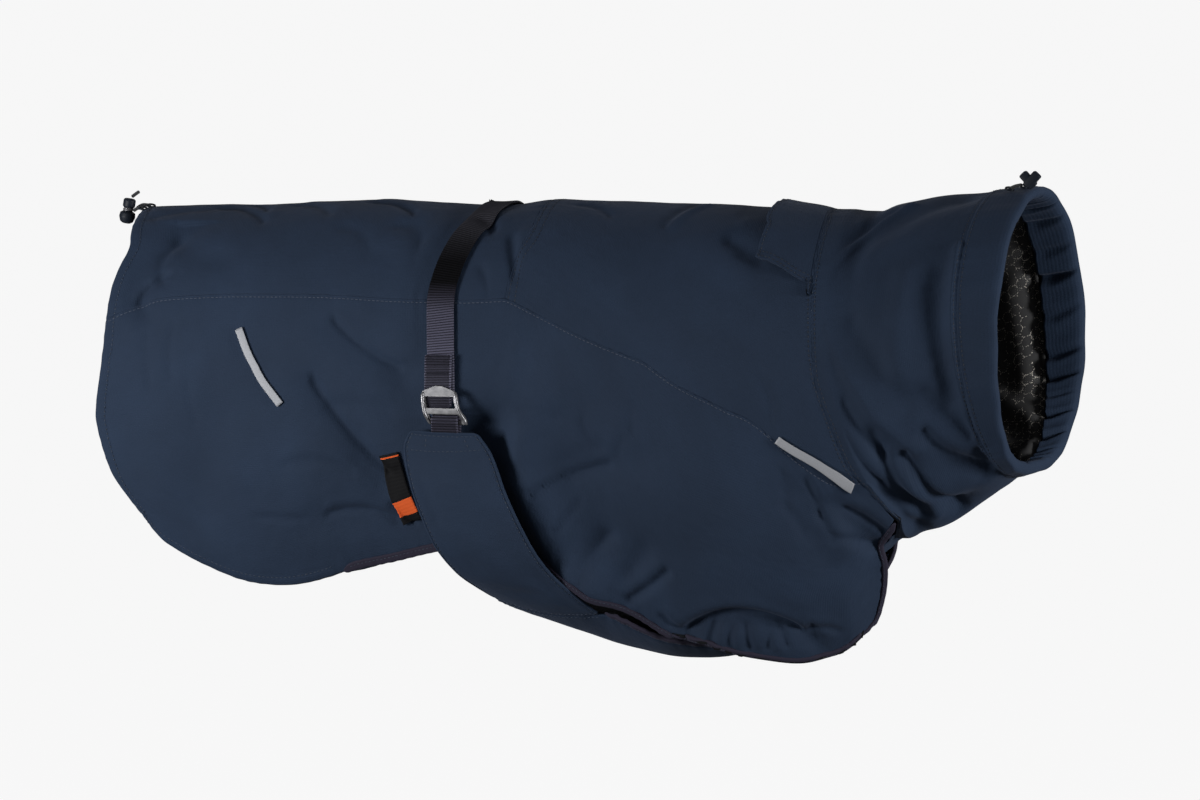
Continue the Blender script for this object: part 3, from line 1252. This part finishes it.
def add_band(look):
    """The band round the rim, turned in and gathered on the inside."""
    angle = np.linspace(0.0, TAU, BAND_COLUMNS, endpoint=False)[None]
    path = spline([(p.along * BAND_DEPTH, p.depth, p.gather) for p in BAND], BAND_ROWS)
    along, depth = path[:, :1] / BAND_DEPTH, path[:, 1:2]
    gather = np.clip(path[:, 2:3], 0.0, 1.0)
    inner = np.clip((gather - 0.28) / 0.62, 0.0, 1.0) ** 1.3
    pleat = tucks(angle, inner) * TUCK_DEPTH * inner + 0.25 * np.sin(angle * 41.0) * gather
    far_low = np.exp(-((angle - FAR_LOW_RIM) / 0.6) ** 2)
    wavy = 0.14 * far_low * np.clip(along, 0.0, 1.0) + (
        0.016 * np.sin(angle * 13.0 + 1.5 * np.sin(angle * 3.0)) * np.sin(math.pi * gather**0.5))
    outside = np.clip(1.0 - depth / 2.0, 0.0, 1.0) * np.clip(along * 3.0, 0, 1)
    swell = 0.35 * np.sin(angle * 23.0 + 1.3 * np.sin(angle * 4.0)) * outside
    start, stop = (ring_place(ring._asdict(), angle, depth - pleat - swell)
                   for ring in (COLLAR[-1], RIM))
    grid = turned(start + (stop - start) * (along + wavy)[..., None], 1.0)
    grid = dressed(grid, (("top", "seam"),), grid_normals(grid, True, True))
    obj = add_cloth("collar_band", grid, look, True, True)
    add_stitches(obj, inside_lines(grid, "top", STITCH_IN, True, True), look["dark_thread"])


# Belly


BODY_MIDDLE_Z = -104.0  # a wing bows away from the body's middle at this height


def wing_lines(shares):
    """Rows of a right wing at these shares of its width, one for each WING row."""
    found = []
    for row in WING:
        rear, front = np.array(row[:3], float), np.array(row[3:6], float)
        points = rear + (front - rear) * shares[:, None]
        outward = points * np.array((0.0, 1.0, 1.0)) - np.array((0.0, 0.0, BODY_MIDDLE_Z))
        bow = row.bow * (1.0 - (2.0 * shares - 1.0) ** 2)
        found.append(points + unit(outward) * bow[:, None])
    return np.array(found)


# Soft dents and swells of a wing: shares across and down, their reach, and a height
WING_FOLDS = (
    (0.30, 0.62, 0.22, 0.10, -1.6), (0.72, 0.50, 0.12, 0.20, -1.2), (0.55, 0.82, 0.25, 0.06, -1.5),
    (0.16, 0.36, 0.08, 0.16, -0.9), (0.50, 0.22, 0.30, 0.05, 0.7), (0.86, 0.78, 0.08, 0.14, -1.2),
)
WING_STITCH_IN, WING_BOX_DEPTH = 2.2, 13.0


def add_wings(look):
    u, v = graded(66.0, 2.2), graded(158.0, 2.4)
    columns = wing_lines(u)
    plain = np.stack([spline(columns[:, i], v) for i in range(len(u))], axis=1)
    lift = np.zeros(plain.shape[:2])
    for across, down, wide, high, height in WING_FOLDS:
        lift += height * np.exp(-((u[None] - across) / wide) ** 2
                                - ((v[:, None] - down) / high) ** 2)
    plain = plain + grid_normals(plain) * lift[..., None]
    kinds = (("top", "trim"), ("bottom", "sewn"), ("start", "trim"), ("end", "trim"))
    right_grid = dressed(plain, kinds, grid_normals(plain))
    edge_tape = np.vstack((right_grid[::-1, 0], right_grid[0, 1:], right_grid[1:, -1]))
    for name, side in SIDES:
        grid, flip = mirrored_points(right_grid, side), side == LEFT
        obj = add_cloth("belly_wing_" + name, grid, look, flip)
        lines = [part_of(*inside_line(grid, "top", reach, flip), slice(6, -6))
                 for reach in (WING_STITCH_IN, WING_BOX_DEPTH)]
        lines += inside_lines(grid, "start end bottom", WING_STITCH_IN, flip)
        normals = grid_normals(grid, flip)
        for column in (int(len(u) * 0.30), int(len(u) * 0.70)):
            box = slice(5, np.searchsorted(distances(grid, "top")[:, column], WING_BOX_DEPTH))
            lines.append((grid[box, column], normals[box, column]))
        add_stitches(obj, lines, look["thread"])
        line = blurred(resample(mirrored_points(edge_tape, side), even(240)), 2)
        piping = add_lofts(f"belly_wing_{name}_edge", [tube(line, round_section(10, 1.0, 1.2))],
                           look["shell"][0])
        declare(piping, "shell_cloth")


BELLY_TAPE_OUT = 2.6


def belly_grid():
    """The belly panel from its rear edge forward to the throat, as rows across it."""
    first = wing_lines(even(32))[-1]
    places = np.stack((first[:, 0], -first[:, 1], first[:, 2]), axis=1)
    xs = np.linspace(places[-1, 0], BELLY[-1].x, 74)[1:]
    ahead = np.stack((xs, at_row(BELLY, "half_width", xs), at_row(BELLY, "edge_z", xs)), axis=1)
    places = np.vstack((places, ahead))
    x, half_width, edge_z = places[:, :1], places[:, 1:2], places[:, 2:3]
    share = (2.0 * graded(84.0, 2.4) - 1.0)[None]
    drop = edge_z - at_row(BELLY, "centre_z", x)
    half_width = half_width + 1.6 * np.clip((x - WING[-1].front_x) / 12.0, 0.0, 1.0)
    z = edge_z - drop * (1.0 - share**2)
    grid = np.stack(np.broadcast_arrays(x, half_width * share, z), axis=-1)
    throat = spline(COLLAR_THROAT, even(60))
    near = throat[np.abs(throat[:, 1]) < CHEST_END_HALF_WIDTH]
    near = np.vstack((near, mirrored_points(near[-2::-1], RIGHT * -1.0)))
    last = resample(near, (share[0] + 1.0) / 2) - np.array(tuple(CHEST_END_BACK))
    steps = even(8)[1:, None, None]
    grid = np.concatenate((grid, grid[-1:] + (last[None] - grid[-1:]) * steps))
    lift = 0.9 * undulation(grid[..., 0], grid[..., 1], 34.0)
    inside = np.sin(math.pi * even(grid.shape[1]))[None] ** 0.5
    return grid - np.array((0.0, 0.0, 1.0)) * (lift * inside)[..., None]


def add_belly(look):
    plain = belly_grid()
    kinds = (("top", "bound"), ("bottom", "seam"), ("start", "bound"), ("end", "bound"))
    grid = dressed(plain, kinds, grid_normals(plain, True))
    obj = add_cloth("belly_panel", grid, look, True)
    seam_rows = plain[:, 0, 0] < WING[-1].front_x + 1.0
    lines = [part_of(*line, seam_rows) for line in inside_lines(grid, "start end", STITCH_IN, True)]
    add_stitches(obj, lines + inside_lines(grid, "top", 7.0, True), look["thread"])
    keep = (plain[:, 0, 0] > WING[-1].front_x + 4.0) & (plain[:, 0, 0] < BELLY[-1].x - 10.0)
    for name, side in SIDES:
        column, inner = (0, 6) if side == RIGHT else (-1, -7)
        line, outward = grid[keep, column], (plain[:, column] - plain[:, inner])[keep]
        shares = even(int(lengths_of(line)[-1] / BINDING_STEP))
        outward = resampled_with(line, blurred(unit(outward), 3), shares)
        line = resample(line, shares) + outward * BELLY_TAPE_OUT
        bound_tube(line, outward, f"belly_binding_{name}_tape", look)


# Strap, buckles and trim

RIB_HEIGHT = 0.45


def band_grid(places, width, out, across):
    """A flat band that follows the cloth along the places, its outer face this far out."""
    before, after = np.vstack((places[:1], places[:-1])), np.vstack((places[1:], places[-1:]))
    x, turn = places[:, 0], places[:, 1]
    normal = body_normal(x, turn)
    along = body(after[:, 0], after[:, 1]) - body(before[:, 0], before[:, 1])
    sideways = unit(np.cross(normal, along))
    around = (body(x, turn + 1.0) - body(x, turn - 1.0)) / 2.0
    reach = sideways[None] * (width * (0.5 - across))[:, None, None]
    turning = np.sum(reach * around[None], axis=-1) / np.sum(around**2, axis=-1)[None]
    return skin(x[None] + reach[..., 0], turn[None] + turning, out)


def ribbed(grid, flip=False):
    """Webbing's raised ribs across a band whose rows run along it, its edges rounded off."""
    place = lengths_of(grid[len(grid) // 2])[None]
    ribs = RIB_HEIGHT * np.abs(np.cos(math.pi * place / RIB_PITCH)) ** 0.8
    d = np.minimum(distances(grid, "top"), distances(grid, "bottom"))
    lift = ribs * np.clip(d / 0.8, 0.0, 1.0) - 0.35 * np.exp(-(d / 0.6) ** 2)
    return grid + grid_normals(grid, flip) * lift[..., None]


WEBBING_ACROSS = np.array((0.0, 0.02, 0.05, 0.1, 0.25, 0.4, 0.5, 0.6, 0.75, 0.9, 0.95, 0.98, 1.0))
MIDDLE = len(WEBBING_ACROSS) // 2


def add_webbing(node, plain, look, flip=False, wall=WEBBING_WALL):
    """A length of webbing through the rows of a plain grid."""
    grid = ribbed(plain, flip)
    obj = add_sheet(node + "_webbing", grid, look["webbing"], wall, flip=flip, cut=plain)
    declare(obj, "webbing", node)
    return obj, grid


# The strap's middle line in (x, z), eased at its bend
STRAP_CURVE = ((-149, -10), (-156, -25), (-161, -45), (-163, -62), (-161, -84), (-160, -104),
               (-160, -137))
DOUBLED_REAR = 1.6  # how far behind the strap its doubled end lies


def add_strap(look):
    half = blurred(edge(STRAP_CURVE, even(560), STRAP_TOP_X), 20)
    out = ON_PANEL + WEBBING_WALL
    plain = band_grid(across_crest(half), WEBBING_WIDTH, out, WEBBING_ACROSS)
    add_webbing("girth_strap", plain, look)
    for name, side in SIDES:
        end = on_side(edge(STRAP_LINE[-2:], even(110)) - np.array((DOUBLED_REAR, 0.0)), side)
        plain = band_grid(end, WEBBING_WIDTH, out + SEAM_GAP + WEBBING_WALL, WEBBING_ACROSS)
        obj, grid = add_webbing("strap_end_" + name, plain, look,
                                side == RIGHT)
        normals = grid_normals(grid, side == RIGHT)
        raised = grid + normals * 0.2
        keeps = [(MIDDLE, slice(4, -4))] + [(slice(2, -2), column) for column in (8, 60, 100)]
        add_stitches(obj, [(raised[keep], normals[keep]) for keep in keeps],
                     look["webbing_thread"], pitch=2.4, length=1.9)


def add_wing_loops(look):
    """The webbing round each buckle's lower bar, both of its ends in the wing's top edge."""
    path = spline([(LOOP_X, y, z) for y, z in LOOP_PATH], even(90))
    tangents = unit(np.gradient(path, axis=0))
    outward = np.stack((np.zeros(len(path)), -tangents[:, 2], tangents[:, 1]), axis=1)
    across = (WEBBING_ACROSS - 0.5)[:, None, None] * WEBBING_WIDTH * np.array((1.0, 0.0, 0.0))
    for name, side in SIDES:
        plain = mirrored_points((path + outward * LOOP_WALL)[None] + across, side)
        add_webbing("wing_loop_" + name, plain, look,
                    side == RIGHT, LOOP_WALL)


BUCKLE_RAIL = 1.15


def add_buckles(look):
    """Each buckle is a bent plate with two slots, its rails raised along both sides."""
    heights = np.array((13.0, 12.4, 11.6, 10.6, 9.6, 8.6, 7.4, 6.4, 5.6, 3.6, 1.6, -0.4, -2.4, -3.4,
                        -4.6, -5.6, -6.6, -8.0, -9.4, -10.8, -11.8, -12.8, -13.8))
    upwards = BUCKLE[::-1]
    half, shift, depth = (
        at_row(upwards, key, heights) for key in ("half_width", "shift", "depth"))
    open_rows = [(5.6, -2.4), (-6.6, -10.8)]
    for name, side in SIDES:
        shape_points, faces = [], []
        for k, height in enumerate(heights):
            slot = min(SLOT_WIDTH / 2, half[k] * 0.8)
            xs = np.concatenate((np.linspace(-half[k], -slot, 3), np.linspace(-slot, slot, 7)[1:-1],
                                 np.linspace(slot, half[k], 3)))
            shape_points += [(x + shift[k], -side * depth[k], height) for x in xs]
        across = len(xs)
        for k, (upper, lower) in enumerate(zip(heights, heights[1:])):
            is_open = any(top >= upper and lower >= bottom for top, bottom in open_rows)
            for i in range(across - 1):
                if is_open and 2 <= i < across - 3:
                    continue
                a, b = k * across + i, (k + 1) * across + i
                corners = (a, b, b + 1, a + 1)
                faces.append(corners[::-1] if side == LEFT else corners)
        x, y, z = BUCKLE_CENTRE
        centre = np.array((x, -side * y, z))
        points = np.array(shape_points) + centre
        mesh = new_mesh(f"buckle_{name}_frame", points, np.array(faces))
        frame_piece = new_object(f"buckle_{name}_frame", mesh, look["metal"])
        thicken = frame_piece.modifiers.new("Wall", "SOLIDIFY")
        thicken.thickness, thicken.offset = BUCKLE_WALL * MM, -1.0
        soften = frame_piece.modifiers.new("Edges", "BEVEL")
        soften.width, soften.segments, soften.limit_method = 0.5 * MM, 3, "ANGLE"
        declare(frame_piece, "buckle_metal", "buckle_" + name)
        keep = heights < 9.0
        lines = [np.stack((end * (half[keep] - 0.9) + shift[keep], -side * (depth[keep] - 0.1),
                           heights[keep]), axis=1) + centre for end in (-1.0, 1.0)]
        section = round_section(10, BUCKLE_RAIL, BUCKLE_RAIL)
        rails = [tube(resample(line, even(30)), section) for line in lines]
        rails = add_lofts(f"buckle_{name}_rails", rails, look["metal"])
        declare(rails, "buckle_metal")


def add_flap(look):
    """The flap over the leash opening: its rear edge stands free, its lower edge is sewn."""
    down, low = graded(95.0, 2.4, start=False), graded(46.0, 2.2)
    rear, lower = edge(FLAP_REAR, down, FLAP_TOP_X), edge(FLAP_LOWER, low)
    front = edge(COLLAR_SEAM[:4], down, COLLAR_TOP_X) - np.array((2.0, 0.0))
    lower[-1], rear[-1] = front[-1], lower[0]
    over = np.concatenate((0.5 - down[::-1] / 2, 0.5 + down[1:] / 2))
    places = patch(lower, mirrored(lower), across_crest(rear), across_crest(front), low, over)
    tucked = np.clip((low - 0.55) / 0.45, 0.0, 1.0) ** 2
    lift = (ON_PANEL + WALL) * (1.0 - 0.9 * tucked) + FLAP_LIFT_REAR * (1.0 - low) ** 2
    grid = on_skin(places, lift[None, :])
    grid = dressed(grid, (("top", "sewn"), ("bottom", "sewn"), ("start", "sewn")),
                   grid_normals(grid, True))
    obj = add_cloth("harness_flap", grid, look, True)
    lines = (inside_lines(grid, "top bottom start", STITCH_IN, True)
             + inside_lines(grid, "top bottom", STITCH_IN + 3.6, True))
    add_stitches(obj, lines, look["dark_thread"])


def add_trim(name, grid, lift, side, wall, material):
    """A band on the cloth, raised by this much, its outer face on the coat's outside."""
    flip = bool(grid_normals(grid)[..., 1].mean() * side <= 0)
    return add_sheet(name, grid + grid_normals(grid, flip) * lift, material, wall, flip=flip)


def add_strips(look):
    """The reflective strips, as a list for each side's name."""
    strips = {name: [] for name, side in SIDES}
    across = np.array((0.0, 0.06, 0.2, 0.5, 0.8, 0.94, 1.0))
    bulge = 0.25 * np.sin(math.pi * across) ** 0.5
    for spot, knots in STRIPS:
        for name, side in SIDES:
            places = on_side(edge(knots, even(40)), side)
            grid = band_grid(places, STRIP_WIDTH, ON_PANEL + STRIP_WALL, across)
            obj = add_trim(f"reflective_{spot}_{name}_strip", grid, bulge[:, None, None], side,
                           STRIP_WALL, look["reflective"])
            strips[name].append(declare(obj, "reflective", f"reflective_{spot}_{name}"))
    return strips


def add_label(look):
    across = even(15)
    grid = band_grid(edge(LABEL_LINE, even(44)), LABEL_WIDTH, LABEL_OUT + LABEL_WALL, across)
    curl = 0.8 * np.sin(np.linspace(0.3, 2.6, 44))[None] * (0.3 + 0.7 * across[:, None])
    obj = add_trim("label_ribbon_piece", grid, curl[..., None], RIGHT, LABEL_WALL, look["label"])
    declare(obj, "label_ribbon", "label")


# Drawcords and their locks

LOCK_SIDES = 36


def leaned(rings, lean, centre):
    """A closed body through rings that are turned in the XZ plane and moved to their centre."""
    x, y, z = np.moveaxis(rings, -1, 0)
    cosine, sine = math.cos(lean), math.sin(lean)
    return loft(np.stack((x * cosine + z * sine, y, z * cosine - x * sine), axis=-1)
                + np.array(centre))


def lathed(profile, centre, tilt):
    """A closed body turned round its axis from (radius, height) points, then tilted."""
    profile = np.array([(max(radius, 0.02), height) for radius, height in profile])
    angle = np.arange(LOCK_SIDES) * TAU / LOCK_SIDES
    x, y = profile[:, :1] * np.cos(angle), profile[:, :1] * np.sin(angle)
    rings = np.stack(np.broadcast_arrays(x, y, profile[:, 1:]), axis=-1)[::-1]
    return leaned(rings, tilt, centre)


def rounded_profile(profile, reach=0.45, steps=4):
    """The same profile with its corners rounded."""
    points = [np.array(point, float) for point in profile]
    found = [points[0]]
    for before, corner, after in zip(points, points[1:], points[2:]):
        start = corner + (before - corner) * min(reach / np.linalg.norm(before - corner), 0.45)
        stop = corner + (after - corner) * min(reach / np.linalg.norm(after - corner), 0.45)
        for t in even(steps):
            found.append((1 - t) ** 2 * start + 2 * t * (1 - t) * corner + t**2 * stop)
    return found + [points[-1]]


def add_tail_lock(look):
    profile = rounded_profile(TAIL_LOCK_PROFILE)
    lock = add_lofts("tail_cord_lock_body", [lathed(profile, TAIL_LOCK, TAIL_LOCK_TILT)],
                     look["plastic"])
    declare(lock, "plastic", "tail_cord_lock")
    turns = np.linspace(0.0, 3.0 * TAU, 90)
    coil = np.stack((3.5 * np.cos(turns), 3.5 * np.sin(turns), -0.7 + 2.2 * turns / turns[-1]),
                    axis=1) + np.array(TAIL_LOCK)
    spring = add_lofts("tail_cord_lock_spring", [tube(coil, round_section(8, 0.32, 0.32))],
                       look["metal"])
    declare(spring, "plastic")


def rounded_block(size, rise, centre, lean, corner=1.3, steps=5):
    """A block with round edges along its length, leaning in the XZ plane."""
    width, depth, length = size
    heights = np.concatenate((even(steps) * corner, length - even(steps)[::-1] * corner))
    heights += (rise - 0.5) * length
    inset = corner - np.sqrt(np.maximum(corner**2 - (corner - even(steps) * corner) ** 2, 0.0))
    rings = []
    for height, less in zip(heights, np.concatenate((inset, inset[::-1]))):
        section = round_section(24, width / 2 - less, depth / 2 - less, 0.42)
        rings.append(np.column_stack((section, np.full(len(section), height))))
    return leaned(np.array(rings), lean, centre)


def add_neck_lock(look):
    length, depth, width = NECK_LOCK_ARM
    rise = NECK_LOCK_RISE / length
    bodies = [rounded_block((width, depth * share, length), rise, NECK_LOCK, lean)
              for lean, share in ((NECK_LOCK_SPREAD, 1.0), (-NECK_LOCK_SPREAD, 0.9))]
    declare(add_lofts("neck_cord_lock_body", bodies, look["plastic"]), "plastic",
            "neck_cord_lock")


def eyelet(centre, normal, radius=2.1, wire=0.75):
    """A small ring sewn round the hole that a cord comes out of."""
    normal = Vector(normal).normalized()
    across = normal.orthogonal()
    turns = np.linspace(0.0, TAU, 25)
    first, second = np.array(across), np.array(normal.cross(across))
    around = np.cos(turns)[:, None] * first + np.sin(turns)[:, None] * second
    line = np.array(centre) + radius * around
    ups = np.tile(np.array(normal), (len(line), 1))
    return loft(along_line(line, ups, round_section(8, wire, wire)))


def add_cords(look):
    section = round_section(14, DRAWCORD / 2, DRAWCORD / 2)
    for name, knots in TAIL_CORDS + NECK_CORDS + (("tail_cord_end", TAIL_CORD_END),):
        cord = add_lofts(name + "_braid", [tube(spline(knots, even(40)), section)], look["cord"])
        declare(cord, "drawcord", name)
    rings = [eyelet(knots[-1], (0.2, -0.25, 1.0)) for name, knots in TAIL_CORDS + NECK_CORDS]
    declare(add_lofts("cord_eyelets", rings, look["plastic"]), "plastic")


# Camera, light and floor

CAMERA_AZIMUTH, CAMERA_ELEVATION = math.radians(19.0), math.radians(4.0)
CAMERA_DISTANCE = 5.6
CAMERA_AIM = Vector((-0.075, 0.0, -0.1372))
CAMERA_LENS = 240.0
FLOOR_Z = -0.9
FLOOR_HALF = 90.0


def add_camera():
    data = bpy.data.cameras.new("camera")
    data.lens, data.sensor_width, data.clip_end = CAMERA_LENS, 36.0, 500.0
    camera = bpy.data.objects.new("camera", data)
    bpy.context.scene.collection.objects.link(camera)
    flat = math.cos(CAMERA_ELEVATION)
    back = Vector((math.sin(CAMERA_AZIMUTH) * flat, -math.cos(CAMERA_AZIMUTH) * flat,
                   math.sin(CAMERA_ELEVATION)))
    camera.location = CAMERA_AIM + back * CAMERA_DISTANCE
    camera.rotation_euler = back.to_track_quat("Z", "Y").to_euler()
    bpy.context.scene.camera = camera


Lamp = namedtuple("Lamp", "name place size power")
LAMPS = table(Lamp, (
    ("key", (-0.95, -0.93, -0.13), 0.42, 12.2), ("fill", (2.8, -0.55, 0.1), 0.8, 66.0),
    ("back", (-0.4, 2.6, 1.5), 1.6, 5.0),
))


def add_lights():
    for lamp in LAMPS:
        data = bpy.data.lights.new(lamp.name, "AREA")
        data.shape, data.size, data.energy = "DISK", lamp.size, lamp.power
        light = bpy.data.objects.new(lamp.name, data)
        bpy.context.scene.collection.objects.link(light)
        light.location = lamp.place
        light.rotation_euler = (Vector(lamp.place) - CAMERA_AIM).to_track_quat("Z", "Y").to_euler()


def add_world():
    """Soft light all round, brighter from above than from below."""
    world = bpy.data.worlds.new("studio")
    bpy.context.scene.world = world
    world.use_nodes = True
    tree = world.node_tree
    up = one_axis(tree, coordinates(tree, "Generated"), "Z")
    sky = ramp(tree, maths(tree, "MULTIPLY_ADD", up, 0.5, 0.5),
               ((0.0, (0.12, 0.12, 0.12)), (0.5, (0.13, 0.13, 0.133)), (1.0, (0.20, 0.20, 0.205))))
    tree.links.new(sky, tree.nodes["Background"].inputs["Color"])


def add_floor():
    corners = np.array(((-1, -1, 0), (1, -1, 0), (1, 1, 0), (-1, 1, 0)), float) * FLOOR_HALF / MM
    corners[:, 2] = FLOOR_Z / MM
    material, _, _ = new_material(
        "floor_paper", Roughness=1.0, Specular_IOR_Level=0.0, Base_Color=(0.16, 0.16, 0.16, 1.0),
        Emission_Color=(1.0, 1.0, 1.0, 1.0), Emission_Strength=0.90)
    floor = new_object("floor", new_mesh("floor", corners, np.array([(0, 1, 2, 3)])), material)
    floor.visible_diffuse = floor.visible_glossy = False


# Threads: the name of each material, and its two colours
THREADS = {
    "thread": ("sewing_thread", (0.014, 0.024, 0.044), (0.030, 0.044, 0.074)),
    "seam_thread": ("seam_thread", (0.042, 0.055, 0.084), (0.066, 0.082, 0.120)),
    "dark_thread": ("dark_thread", (0.006, 0.010, 0.018), (0.014, 0.020, 0.034)),
    "webbing_thread": ("webbing_thread", (0.05, 0.05, 0.06), (0.10, 0.10, 0.12)),
}
LABEL_STRIPES_LENGTH = 49.0


def make_materials():
    lining = honeycomb_lining()
    look = {key: speckled(*thread, 2500.0, 0.4, Roughness=0.6) for key, thread in THREADS.items()}
    look.update({
        "shell": (woven("shell_softshell", (0.0155, 0.0285, 0.0560), 0.22),
                  woven("shell_inner_face", (0.0045, 0.005, 0.0065), 0.3, thread=0.0009,
                        roughness=0.95, sheen=0.0)),
        "lining": (lining, lining),
        "binding": woven("binding_tape", (0.024, 0.021, 0.037), 0.25, thread=0.0008, bump=0.5,
                         sheen=0.06),
        "webbing": (webbing_material(),),
        "metal": brushed_metal(),
        "reflective": (speckled("reflective_beads", (0.27, 0.28, 0.30), (0.37, 0.38, 0.41), 2600.0,
                                0.3, Roughness=0.6, Metallic=0.1),),
        "label": (label_material(LABEL_STRIPES_LENGTH),),
        "plastic": speckled("cord_lock_plastic", (0.006, 0.009, 0.015), (0.010, 0.014, 0.022),
                            900.0, 0.12, Roughness=0.5, Specular_IOR_Level=0.2),
        "cord": braided("drawcord_braid", (0.006, 0.007, 0.009), (0.022, 0.025, 0.033)),
    })
    return look


def main():
    look, places = make_materials(), panel_places()
    add_top_panels(places, look)
    strips = add_strips(look)
    for name, side in SIDES:
        add_side(places, name, side, look)
    seam, angle = collar_seam(places)
    add_collar(seam, angle, look)
    add_lining(seam, angle, look)
    for add in (add_band, add_wings, add_belly, add_strap, add_buckles, add_wing_loops, add_flap,
                add_label, add_tail_lock, add_neck_lock, add_cords):
        add(look)
    for add in (add_camera, add_lights, add_world, add_floor):
        add()
    bpy.context.scene.view_settings.view_transform = "Standard"


main()
